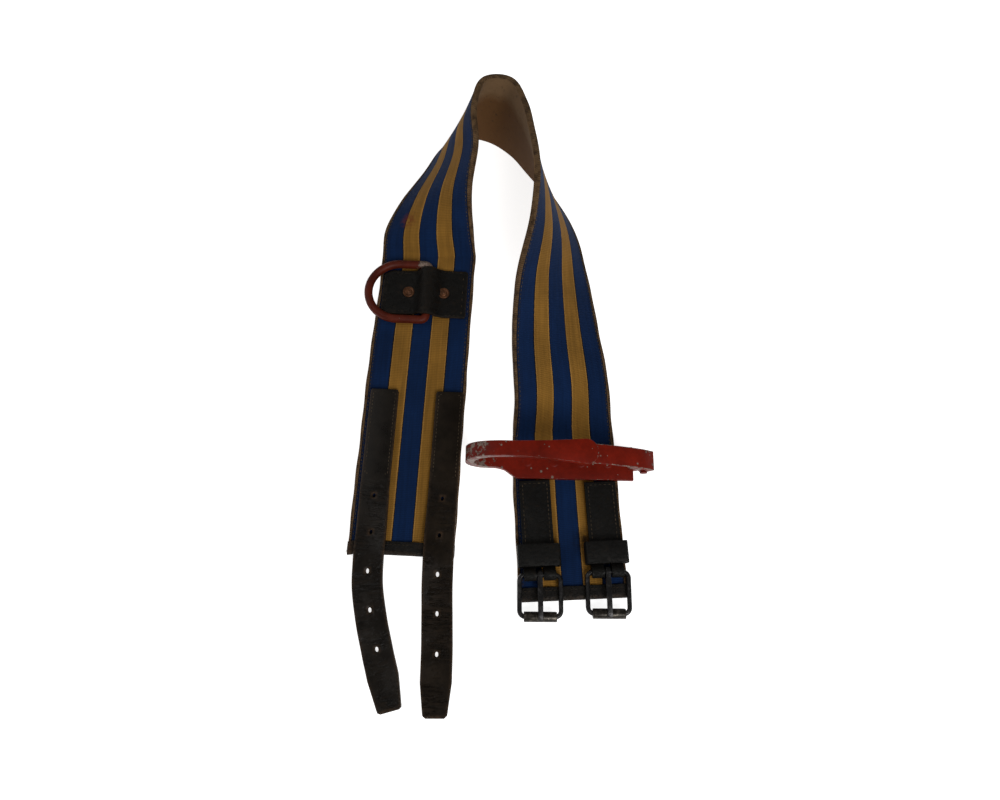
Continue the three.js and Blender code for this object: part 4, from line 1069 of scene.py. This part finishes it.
class BELT_OT_straps(bpy.types.Operator):
    """Make the two leather straps with their holes, sewn above and free below"""

    bl_idname = "belt.straps"
    bl_label = "Straps"

    def execute(self, context):
        sizes = context.scene.belt_sizes
        lie = band(sizes)
        for side in SIDES:
            strap = self.strap(side, sizes)
            settle(strap, lie.left)
            leather = finishes()["strap" if side == "left" else "brown_strap"]
            finish_piece(strap, leather, None,
                         [f"strap_{side}_sewn", f"strap_{side}_free"], degrees=50)
            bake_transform(strap)
            row = stitches(f"strap_stitches_{side}", self.strap_seam(side, sizes), sizes)
            settle(row, lie.left)
            finish_piece(row, finishes()["thread"], "belt", degrees=80)
        return {"FINISHED"}

    def strap(self, side, sizes):
        """One strap, laid along its line."""
        width, thickness = sizes.strap_width / MM, sizes.strap_thickness / MM
        line = Rail([(x + STRAP_OFFSETS[side], y, z) for x, y, z in STRAP_LINES[side]])
        free_rows = int(line.length / STRAP_ROW)
        columns = 20
        strap = flat_grid(f"strap_{side}", columns, SEWN_ROWS + free_rows)
        across, row, _ = points_of(strap).T
        row = np.rint(row * (SEWN_ROWS + free_rows))
        sewn = row <= SEWN_ROWS
        run = np.where(sewn, -SEWN_LENGTH * (1 - row / SEWN_ROWS), (row - SEWN_ROWS) * STRAP_ROW)
        run = np.where(row == SEWN_ROWS + free_rows, line.length, run)
        sideways = (0.5 - across) * width
        flat = np.stack([sideways, run], 1)
        column = np.rint(across * columns)
        self.punch(strap, column, row, columns)
        flat = self.round_holes(flat, column, row, columns, sizes)
        sideways, run = flat.T
        from_tip = line.length - run
        half = (STRAP_TIP_WIDTH + (width - STRAP_TIP_WIDTH) * np.clip(from_tip / STRAP_TAPER, 0, 1)) / 2
        inward = np.clip(STRAP_CORNER - from_tip, 0, STRAP_CORNER)
        narrow = (half - STRAP_CORNER + np.sqrt(STRAP_CORNER ** 2 - inward ** 2)) / (width / 2)
        from_top = run + SEWN_LENGTH
        narrow *= 1 - np.clip(1.8 - from_top, 0, 1.8) * 0.6 / (width / 2)
        sideways = sideways * narrow
        holes = np.array([FIRST_HOLE + i * HOLE_PITCH for i in range(HOLE_COUNT)])
        to_hole = np.hypot(sideways[:, None], run[:, None] - holes[None, :]).min(1)
        rubbed = np.clip(1 - (width / 2 * narrow - np.abs(sideways)) / 1.7, 0, 1) * 0.75
        rubbed = np.maximum(rubbed, np.clip(1 - (to_hole - 1.9) / 1.3, 0, 1) * 0.7)
        rubbed = np.maximum(rubbed, np.clip(1 - from_tip / 3, 0, 1) * 0.8)
        remember(strap, "rubbed", rubbed)
        remember(strap, "lay", np.stack([sideways, run, 0 * run], 1))
        t = line.by_length(np.clip(run, 0, None) / line.length)
        ahead = line.ahead(t)
        middle = line.at(t)
        middle[:, 1] += np.clip(-run, 0, None)
        right = np.stack([-ahead[:, 1], ahead[:, 0], 0 * run], 1)
        right /= np.linalg.norm(right, axis=1, keepdims=True)
        up = np.cross(ahead, right)
        free = np.clip((run - 10) / 40, 0, 1)
        cup = 0.5 * free * (sideways / (width / 2)) ** 2
        roll = free * 0.05 * np.sin(run / 23 + (0 if side == "left" else 2)) * sideways
        ripple = free * 0.18 * np.sin(run / 4.3 + 0.4 * np.sin(run / 11))
        swell = 0.45 * (1 - free) * (1 - (sideways / (width / 2)) ** 2)
        height = thickness + cup + np.abs(roll) * 0.6 + roll + ripple + swell
        move_points(strap, middle + right * sideways[:, None] + up * height[:, None])
        thicken(strap, thickness)
        round_edges(strap, 0.7, 2, 50)
        return strap

    def punch(self, strap, column, row, columns):
        """Cuts the five holes out of the flat strap, a small square of faces each."""
        half = HOLE_CELLS // 2
        middle = columns // 2
        inside = np.abs(column - middle) < half
        any_hole = np.zeros(len(row), bool)
        for number in range(HOLE_COUNT):
            centre = SEWN_ROWS + round((FIRST_HOLE + number * HOLE_PITCH) / STRAP_ROW)
            any_hole |= inside & (np.abs(row - centre) < half)
        self.kept_points = ~any_hole
        only(strap)
        strap.data.vertices.foreach_set("select", any_hole)
        strap.data.edges.foreach_set("select", np.zeros(len(strap.data.edges), bool))
        strap.data.polygons.foreach_set("select", np.zeros(len(strap.data.polygons), bool))
        bpy.ops.object.mode_set(mode="EDIT")
        bpy.ops.mesh.select_mode(type="VERT")
        bpy.ops.object.mode_set(mode="OBJECT")
        strap.data.vertices.foreach_set("select", any_hole)
        bpy.ops.object.mode_set(mode="EDIT")
        bpy.ops.mesh.delete(type="VERT")
        bpy.ops.object.mode_set(mode="OBJECT")

    def round_holes(self, flat, column, row, columns, sizes):
        """Pulls the points round each cut square onto the hole's oval, drawn longer by use."""
        flat = flat.copy()
        oval = np.array((0.62, 0.95)) * sizes.hole_width / MM / 2
        half = HOLE_CELLS // 2
        for number in range(HOLE_COUNT):
            run = FIRST_HOLE + number * HOLE_PITCH
            centre = SEWN_ROWS + round(run / STRAP_ROW)
            away = np.maximum(np.abs(column - columns // 2), np.abs(row - centre))
            on_rim = away == half
            offset = flat[on_rim] - (0, run)
            offset *= oval / np.hypot(*offset.T)[:, None]
            flat[on_rim] = offset + (0, run)
        return flat[self.kept_points]

    def strap_seam(self, side, sizes):
        """Places of the stitches round the sewn part."""
        middle, half = STRAP_OFFSETS[side], sizes.strap_width / MM / 2
        low, high = SEWN_START + 3, SEWN_START + SEWN_LENGTH - 3
        height = ON_BELT + sizes.strap_thickness / MM + 0.12
        sides = [seam((middle + way * (half - 2.7), low), (middle + way * (half - 2.7), high), height, sizes)
                 for way in (-1, 1)]
        top = seam((middle - half + 2.7, high), (middle + half - 2.7, high), height, sizes)
        bottom = seam((middle - half + 2.7, low), (middle + half - 2.7, low), height, sizes)
        return sides[0] + sides[1] + top + bottom


class BELT_OT_ring(bpy.types.Operator):
    """Bend the ring from round wire"""

    bl_idname = "belt.ring"
    bl_label = "Ring"

    def execute(self, context):
        sizes = context.scene.belt_sizes
        radius = sizes.ring_wire / MM / 2
        line = self.line()

        def place(turn, along):
            middle = line.at(along)
            ahead = line.at((along + 1e-3) % 1) - line.at((along - 1e-3) % 1)
            ahead /= np.linalg.norm(ahead, axis=1, keepdims=True)
            side = np.cross(ahead, (0, 0, 1))
            angle = 2 * math.pi * turn
            up = np.array((0, 0, 1)) * np.sin(angle)[:, None]
            return middle + (side * np.cos(angle)[:, None] + up) * radius

        ring = loop("ring", 20, 120, place)
        x, y, z = points_of(ring).T
        tip = np.clip(1 - np.hypot(x + 3.5, y - 26) / 12, 0, 1)
        remember(ring, "rubbed", np.clip(0.12 + 1.8 * tip + 0.15 * (z > 2), 0, 1.4))
        settle(ring, shifted(band(sizes).left, *RING_PLACE))
        finish_piece(ring, finishes()["old_paint"], "ring", ["dee_ring"], degrees=80)
        return {"FINISHED"}

    def line(self):
        """The ring's middle line: a straight bar, two tight corners and a half round."""
        half, corner = RING_BOW_RADIUS, RING_CORNER

        def arc(x, y, radius, start, end, steps):
            angles = np.radians(np.linspace(start, end, steps))
            return [(x + radius * math.cos(a), y + radius * math.sin(a), 0) for a in angles]

        points = arc(-corner, half - corner, corner, 0, 90, 10)
        points += arc(-RING_BOW, 0, half, 90, 270, 60)
        points += arc(-corner, corner - half, corner, 270, 360, 10)
        return Loop(points)


class Loop:
    """A closed line through points, walked by its length."""

    def __init__(self, points):
        points = np.array([*points, points[0]], float)
        steps = np.linalg.norm(np.diff(points, axis=0), axis=1)
        self.run = np.concatenate([[0], np.cumsum(steps)]) / steps.sum()
        self.points = points

    def at(self, share):
        """Points at a share of the way round."""
        return np.stack([np.interp(share, self.run, self.points[:, k]) for k in range(3)], 1)


class BELT_OT_patch(bpy.types.Operator):
    """Lay the ring's leather patch over its bar and sew it down"""

    bl_idname = "belt.patch"
    bl_label = "Ring Patch"

    def execute(self, context):
        sizes = context.scene.belt_sizes
        thickness = sizes.patch_thickness / MM
        place = shifted(band(sizes).left, RING_PLACE[0], RING_PLACE[1])
        u = np.linspace(PATCH_FROM, PATCH_TO, 700)
        flat_top = ON_BELT + thickness + 0.1
        hump = ON_BELT + sizes.ring_wire / MM + thickness + 0.35
        dome = (hump - flat_top) * np.exp(-(np.abs(u) / 9.0) ** 2.6)
        line = np.stack([u, flat_top + dome], 1)
        steps = np.concatenate([[0], np.cumsum(np.hypot(*np.diff(line, axis=0).T))])
        leather = flat_grid("ring_patch_leather", 26, 84)
        across, along, _ = points_of(leather).T
        reach = np.interp(along * steps[-1], steps, u)
        height = np.interp(along * steps[-1], steps, line[:, 1])
        half = self.half_width(reach)
        y = (across - 0.5) * 2 * half
        near_bar = np.exp(-((np.abs(reach) - 9) / 4) ** 2)
        height = height + 0.22 * near_bar * np.sin(y / 2.3 + reach) + 0.12 * np.sin(y / 5 + reach / 7)
        edge = np.minimum(half - np.abs(y), np.minimum(reach - PATCH_FROM, PATCH_TO - reach))
        rubbed = np.clip(1 - edge / 1.6, 0, 1) * 0.25 + 0.10 * np.exp(-(reach / 5) ** 2)
        remember(leather, "rubbed", np.clip(rubbed, 0, 1))
        remember(leather, "lay", np.stack([y, reach, 0 * y], 1))
        move_points(leather, np.stack([reach, -y, height], 1))
        thicken(leather, thickness)
        weld(leather)
        round_edges(leather, 0.6, 2, 55)
        settle(leather, place)
        finish_piece(leather, finishes()["leather"], "belt", ["ring_patch"], degrees=50)
        top = flat_top + 0.1
        end = seam((PATCH_TO - 4, -20), (PATCH_TO - 4, 20), top, sizes)[::2]
        rows = seam((PATCH_FROM + 3.4, -14), (PATCH_FROM + 3.4, 14), top, sizes)
        for way in (-1, 1):
            rows += seam((12, way * 21.3), (PATCH_TO - 5, way * 21.3), top, sizes)
            rows += seam((-30, way * 18.8), (-12, way * 18.8), top, sizes)
        for part, places, thread in (("side", rows, "dark_thread"), ("end", end, "thread")):
            row = stitches(f"patch_{part}_stitches", places, sizes)
            settle(row, place)
            finish_piece(row, finishes()[thread], "belt", degrees=80)
        return {"FINISHED"}

    def half_width(self, reach):
        """Half the patch's width: wide past the bar, narrow inside the ring, cut round at its tip."""
        wide, slim = 23.1, 21.5
        step = np.clip((reach + 8.5) / 5, 0, 1)
        half = slim + (wide - slim) * step * step * (3 - 2 * step)
        room = 22.6 ** 2 - np.minimum(reach + RING_BOW, 0) ** 2
        half = np.where(reach < -RING_BOW, np.minimum(half, np.sqrt(np.maximum(room, 1))), half)
        corner = np.clip(2.2 - (PATCH_TO - reach), 0, 2.2)
        return half - (2.2 - np.sqrt(2.2 ** 2 - corner ** 2))


class BELT_OT_copper_rivets(bpy.types.Operator):
    """Set the two copper rivets with their washers in the ring's patch"""

    bl_idname = "belt.copper_rivets"
    bl_label = "Copper Rivets"

    def execute(self, context):
        sizes = context.scene.belt_sizes
        radius = sizes.rivet_width / MM / 2
        base = ON_BELT + 2.6
        shape = ((0.0, 2.15), (0.45, 2.12), (0.95, 1.85), (1.2, 1.55), (1.5, 1.5), (2.2, 1.72), (2.75, 1.62),
                 (3.05, 1.2), (3.25, 0.85), (3.6, 0.95), (4.3, 1.25), (4.85, 1.15), (5.15, 0.75), (5.25, 0.0),
                 (5.1, -0.4), (2.0, -0.4), (2.0, -5.2), (0.0, -5.2))
        for name, reach in zip(("outer", "inner"), PATCH_RIVETS):
            profile = [(r * radius / 5.25, h) for r, h in shape]
            rivet = turned(f"copper_rivet_{name}", profile, 36)
            place = shifted(band(sizes).left, RING_PLACE[0] + reach, RING_PLACE[1], base + 0.25)
            settle(rivet, place)
            finish_piece(rivet, finishes()["copper"], "belt", [f"patch_rivet_{name}"], degrees=45)
        return {"FINISHED"}


class BELT_OT_hook(bpy.types.Operator):
    """Forge the snap hook's body: base, bend, arm, round nose and the gate's lug"""

    bl_idname = "belt.hook"
    bl_label = "Hook Body"

    def execute(self, context):
        sizes = context.scene.belt_sizes
        strip = self.strip()
        lugs = [plate(f"lug_{way}", self.lug_outline(), 2.7, way * 4.15) for way in (-1, 1)]
        for each in lugs:
            remember(each, "rubbed", np.full(len(each.data.vertices), 0.3))
        hook = joined("snap_hook", [strip, *lugs])
        hook.data.materials.clear()
        hook.data.materials.append(finishes()["paint"])
        hook.data.materials.append(finishes()["paint_edge"])
        rounding = sizes.metal_rounding / MM
        round_edges(hook, rounding, 3, 40, material=1)
        settle(hook, hook_frame(sizes))
        finish_piece(hook, None, "belt", ["hook_body"], degrees=30)
        return {"FINISHED"}

    def strip(self):
        """The bent strip from the base's right end round to the nose."""
        stations = np.array(HOOK_STATIONS, float)
        line = Rail(np.stack([stations[:, 0], 0 * stations[:, 0], stations[:, 1]], 1))
        size = Rail(np.stack([stations[:, 2], stations[:, 3], 0 * stations[:, 0]], 1))
        t = np.linspace(0, 1, 130)
        middle, wide = line.at(t), size.at(t)
        wide[:, 0] = np.minimum(wide[:, 0], 28)
        ahead = line.ahead(t)
        turn = np.radians(np.linspace(6, 87, 16))
        nose = middle[-1] + np.outer(NOSE_WIDTH / 2 * np.sin(turn), ahead[-1])
        nose_size = np.stack([NOSE_WIDTH * np.cos(turn), 5 - 1.2 * np.sin(turn) ** 4, 0 * turn], 1)
        middle = np.vstack([middle, nose])
        wide = np.vstack([wide, nose_size])
        ahead = np.vstack([ahead, np.repeat(ahead[-1:], len(turn), 0)])
        last = len(middle) - 1
        corners = np.array([(0.5, 0.5), (-0.5, 0.5), (-0.5, -0.5), (0.5, -0.5)])

        def place(turn, along):
            row = np.rint(along * last).astype(int)
            corner = corners[np.rint(turn * 4).astype(int) % 4]
            up = np.stack([-ahead[row, 2], 0 * turn, ahead[row, 0]], 1)
            point = middle[row] + up * (corner[:, 1] * wide[row, 1])[:, None]
            point[:, 1] = corner[:, 0] * wide[row, 0]
            return point

        strip = tube("hook_strip", 4, last, place)
        x, _, z = points_of(strip).T
        bend = np.clip((-52 - x) / 14, 0, 1)
        tip = np.clip((-14 - x) / 30, 0, 1) * (z > 30) * 0.35
        remember(strip, "rubbed", np.clip(np.maximum(bend * 0.95, tip), 0.02, 1))
        return strip

    def lug_outline(self):
        """One half of the lug that holds the gate's pin, seen from the side."""
        pin_x, pin_z = GATE_PIN
        radius = 4.5
        angles = np.linspace(-0.64, math.pi * 0.85, 14)
        outline = [(42, 0.3), (56, 0.3), (pin_x + radius * 0.8, pin_z - radius * 0.6)]
        outline += [(pin_x + radius * math.cos(a), pin_z + radius * math.sin(a)) for a in angles]
        return [*outline, (50, 3.8), (42, 3.8)]


class BELT_OT_hook_rivets(bpy.types.Operator):
    """Set the four painted rivets through the hook's base"""

    bl_idname = "belt.hook_rivets"
    bl_label = "Hook Rivets"

    def execute(self, context):
        sizes = context.scene.belt_sizes
        profile = ((0.0, 0.35), (2.4, 0.32), (3.5, 0.22), (4.1, 0.05), (4.3, -0.15), (2.0, -0.2),
                   (2.0, -7.4), (0.0, -7.4))
        for number, u in enumerate(HOOK_RIVETS, 1):
            rivet = turned(f"hook_rivet_{number}_head", profile, 28)
            remember(rivet, "rubbed", np.full(len(rivet.data.vertices), 0.25))
            settle(rivet, shifted(hook_frame(sizes), u, 0, 4.1))
            stands_for = [f"hook_rivet_{number}"]
            finish_piece(rivet, finishes()["paint"], "belt", stands_for, degrees=50)
        return {"FINISHED"}


class BELT_OT_gate(bpy.types.Operator):
    """Make the hook's sprung gate with its cheeks and pin"""

    bl_idname = "belt.gate"
    bl_label = "Hook Gate"

    def execute(self, context):
        sizes = context.scene.belt_sizes
        pin_x, pin_z = GATE_PIN
        width = sizes.gate_width / MM
        free = HOOK_HEIGHT * NOSE_RATIO - 2.5 - 1.2 - 0.6
        rise = free - pin_z
        line = Rail([(12, 0, free), (30, 0, pin_z + rise * 0.84), (48, 0, pin_z + rise * 0.58),
                     (60, 0, pin_z + 8.35), (pin_x + 7.6, 0, pin_z + 2.64)])
        corners = np.array([(0.5, 0.5), (-0.5, 0.5), (-0.5, -0.5), (0.5, -0.5)])
        rows = 48

        def place(turn, along):
            corner = corners[np.rint(turn * 4).astype(int) % 4]
            ahead = line.ahead(along)
            up = np.stack([-ahead[:, 2], 0 * along, ahead[:, 0]], 1)
            point = line.at(along) + up * (corner[:, 1] * 2.4)[:, None]
            slim = 1 - 0.35 * np.clip(1 - along * 9, 0, 1) ** 2
            point[:, 1] = corner[:, 0] * width * slim
            return point

        strip = tube("gate_strip", 4, rows, place)
        x, _, _ = points_of(strip).T
        remember(strip, "rubbed", np.clip(0.06 + np.clip((x - 58) / 10, 0, 1) * 0.5, 0, 1))
        cheek = (width - 11) / 2 - 0.3
        angles = np.linspace(math.pi * 0.95, math.pi * 1.8, 12)
        outline = [(pin_x + 7.6, pin_z + 2.64), (60, pin_z + 8.35), (49, pin_z + rise * 0.56),
                   (46, pin_z + rise * 0.46), (pin_x - 4.2, pin_z + 1)]
        outline += [(pin_x + 4.2 * math.cos(a), pin_z + 4.2 * math.sin(a)) for a in angles]
        sides = [plate(f"cheek_{way}", outline, cheek, way * (width - cheek) / 2) for way in (-1, 1)]
        for each in sides:
            remember(each, "rubbed", np.full(len(each.data.vertices), 0.75))
        gate = joined("gate", [strip, *sides])
        gate.data.materials.clear()
        gate.data.materials.append(finishes()["paint"])
        gate.data.materials.append(finishes()["paint_edge"])
        round_edges(gate, sizes.metal_rounding / MM * 0.7, 3, 40, material=1)
        settle(gate, hook_frame(sizes))
        finish_piece(gate, None, "gate", ["hook_gate"], degrees=30)
        pin = softened("hook_gate_pin", "gate_pin", 0.0004)
        remember(pin, "rubbed", np.full(len(pin.data.vertices), 0.25))
        finish_piece(pin, finishes()["paint"], "belt", ["hook_gate_pin"])
        return {"FINISHED"}


class BELT_OT_chapes(bpy.types.Operator):
    """Fold and sew the leather chapes that hold the buckles"""

    bl_idname = "belt.chapes"
    bl_label = "Chapes"

    def execute(self, context):
        sizes = context.scene.belt_sizes
        place = band(sizes).right
        for side in SIDES:
            chape = softened(f"chape_{side}", f"chape_{side}_leather", 0.0009, 30, 3)
            finish_piece(chape, finishes()["leather"], "belt", [f"chape_{side}"])
            middle, top = CHAPE_OFFSETS[side], chape_top(side)
            height = ON_BELT + 4.8 + 0.12
            rows = seam((middle - 9.9, 43.5), (middle - 9.9, top - 2.8), height, sizes)
            rows += seam((middle + 9.9, 43.5), (middle + 9.9, top - 2.8), height, sizes)
            rows += seam((middle - 9.5, top - 2.8), (middle + 9.5, top - 2.8), height, sizes)
            row = stitches(f"chape_stitches_{side}", rows, sizes)
            settle(row, place)
            finish_piece(row, finishes()["thread"], "belt", degrees=80)
        return {"FINISHED"}


class BELT_OT_keepers(bpy.types.Operator):
    """Make the leather keeper loops"""

    bl_idname = "belt.keepers"
    bl_label = "Keepers"

    def execute(self, context):
        for side in SIDES:
            keeper = softened(f"keeper_{side}", f"keeper_{side}_leather", 0.0004, 30, 2)
            finish_piece(keeper, finishes()["leather"], "belt", [f"keeper_{side}"])
        return {"FINISHED"}


class BELT_OT_buckles(bpy.types.Operator):
    """Bend the two buckle frames and hang their prongs and rollers"""

    bl_idname = "belt.buckles"
    bl_label = "Buckles"

    def execute(self, context):
        sizes = context.scene.belt_sizes
        wire = sizes.buckle_wire / MM
        half, reach = (sizes.buckle_width / MM - wire) / 2, sizes.buckle_length / MM
        corner = 4.6
        points = []
        for x, y, start in ((half, 0, 0), (-half, 0, 90), (-half, -reach, 180), (half, -reach, 270)):
            centre_x, centre_y = x - math.copysign(corner, x), y + (corner if y else -corner)
            for angle in np.radians(np.linspace(start, start + 90, 8)):
                points.append((centre_x + corner * math.cos(angle), centre_y + corner * math.sin(angle), 0))
        line = Loop(points)

        def place(turn, along):
            ahead = line.at((along + 2e-3) % 1) - line.at((along - 2e-3) % 1)
            ahead /= np.linalg.norm(ahead, axis=1, keepdims=True)
            side = np.cross(ahead, (0, 0, 1))
            angle = 2 * math.pi * turn
            up = np.array((0, 0, 1)) * np.sin(angle)[:, None]
            return line.at(along) + (side * np.cos(angle)[:, None] + up) * wire / 2

        for side in SIDES:
            bent = loop(f"buckle_{side}_frame", 16, 128, place)
            settle(bent, buckle_frame(sizes, side))
            finish_piece(bent, finishes()["iron"], f"buckle_{side}",
                         [f"buckle_frame_{side}"], degrees=80)
            prong = softened(f"buckle_prong_{side}", f"buckle_{side}_prong", 0.0009, 30, 3)
            finish_piece(prong, finishes()["iron"], f"prong_{side}",
                         [f"buckle_prong_{side}"], degrees=40)
            roller = softened(f"buckle_roller_{side}", f"buckle_{side}_roller", 0.0005, 50, 2)
            finish_piece(roller, finishes()["steel"], f"roller_{side}",
                         [f"buckle_roller_{side}"], degrees=40)
        return {"FINISHED"}


class BELT_OT_hidden_metal(bpy.types.Operator):
    """Finish the metal between the layers and the gate's spring"""

    bl_idname = "belt.hidden_metal"
    bl_label = "Hidden Metal"

    def execute(self, context):
        for name, material in (("hook_back_plate", "steel"), ("hook_gate_spring", "steel"),
                               ("patch_burr_outer", "copper"), ("patch_burr_inner", "copper")):
            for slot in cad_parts[name].material_slots:
                slot.material = finishes()[material]
        return {"FINISHED"}


class BELT_OT_stage(bpy.types.Operator):
    """Set the pale table, the soft lights and the camera"""

    bl_idname = "belt.stage"
    bl_label = "Stage"

    LIGHTS = (
        ("window_light", (0.55, -1.15, 1.35), 1.0, 22.0),
        ("fill_light", (-1.2, 0.5, 1.5), 1.4, 7.0),
    )

    def execute(self, context):
        bpy.ops.object.select_all(action="DESELECT")
        bpy.ops.mesh.primitive_plane_add(size=TABLE_SIZE, location=(0, 0, -TABLE_DROP))
        table = named("table_top")
        bpy.ops.object.transform_apply(location=True)
        table.data.materials.append(floor_material(context.scene.belt_colours))
        for name, place, size, power in self.LIGHTS:
            aim = (Vector((0, 0.03, 0)) - Vector(place)).to_track_quat("-Z", "Y").to_euler()
            bpy.ops.object.light_add(type="AREA", radius=size, location=place, rotation=aim)
            lamp = bpy.context.active_object
            lamp.name = name
            lamp.data.size = size
            lamp.data.energy = power
        world = bpy.data.worlds.new("pale_room")
        world.use_nodes = True
        world.node_tree.nodes["Background"].inputs["Color"].default_value = (1.0, 0.985, 0.955, 1)
        world.node_tree.nodes["Background"].inputs["Strength"].default_value = 0.16
        context.scene.world = world
        self.camera(context)
        context.scene.view_settings.view_transform = "Standard"
        context.scene.view_settings.look = "None"
        context.scene.view_settings.exposure = 0
        context.scene.view_settings.gamma = 1
        return {"FINISHED"}

    def camera(self, context):
        """Looks steeply down on the belt from over its open end."""
        spot = Vector(band(context.scene.belt_sizes).shift) + Vector(CAMERA)
        bpy.ops.object.camera_add(location=spot * MM, rotation=(math.radians(CAMERA_PITCH), 0, 0))
        camera = bpy.context.active_object
        camera.name = "camera"
        camera.data.sensor_width = SENSOR_WIDTH
        camera.data.lens = CAMERA_LENS
        camera.data.clip_start = 0.02
        camera.data.clip_end = 50
        context.scene.camera = camera


class BELT_PT_panel(bpy.types.Panel):
    """Buttons for every piece of the belt"""

    bl_idname = "BELT_PT_panel"
    bl_label = "Climbing Belt"
    bl_space_type = "VIEW_3D"
    bl_region_type = "UI"
    bl_category = "Belt"

    def draw(self, context):
        layout = self.layout
        for operator in OPERATORS:
            layout.operator(operator.bl_idname)
        for group in (context.scene.belt_sizes, context.scene.belt_colours):
            column = layout.column(align=True)
            for name in group.bl_rna.properties.keys():
                if name not in ("rna_type", "name"):
                    column.prop(group, name)


OPERATORS = (
    BELT_OT_stage,
    BELT_OT_webbing,
    BELT_OT_lining,
    BELT_OT_turned_edges,
    BELT_OT_bindings,
    BELT_OT_straps,
    BELT_OT_ring,
    BELT_OT_patch,
    BELT_OT_copper_rivets,
    BELT_OT_hook,
    BELT_OT_hook_rivets,
    BELT_OT_gate,
    BELT_OT_chapes,
    BELT_OT_keepers,
    BELT_OT_buckles,
    BELT_OT_hidden_metal,
)
CLASSES = (BeltSizes, BeltColours, *OPERATORS, BELT_PT_panel)


def register():
    """Adds the belt's classes and its settings to Blender."""
    for each in CLASSES:
        bpy.utils.register_class(each)
    bpy.types.Scene.belt_sizes = PointerProperty(type=BeltSizes)
    bpy.types.Scene.belt_colours = PointerProperty(type=BeltColours)


def unregister():
    """Takes them out again."""
    del bpy.types.Scene.belt_sizes
    del bpy.types.Scene.belt_colours
    for each in reversed(CLASSES):
        bpy.utils.unregister_class(each)


def main():
    """Makes every piece."""
    register()
    for operator in OPERATORS:
        group, name = operator.bl_idname.split(".")
        getattr(getattr(bpy.ops, group), name)()


if __name__ == "__main__":
    main()
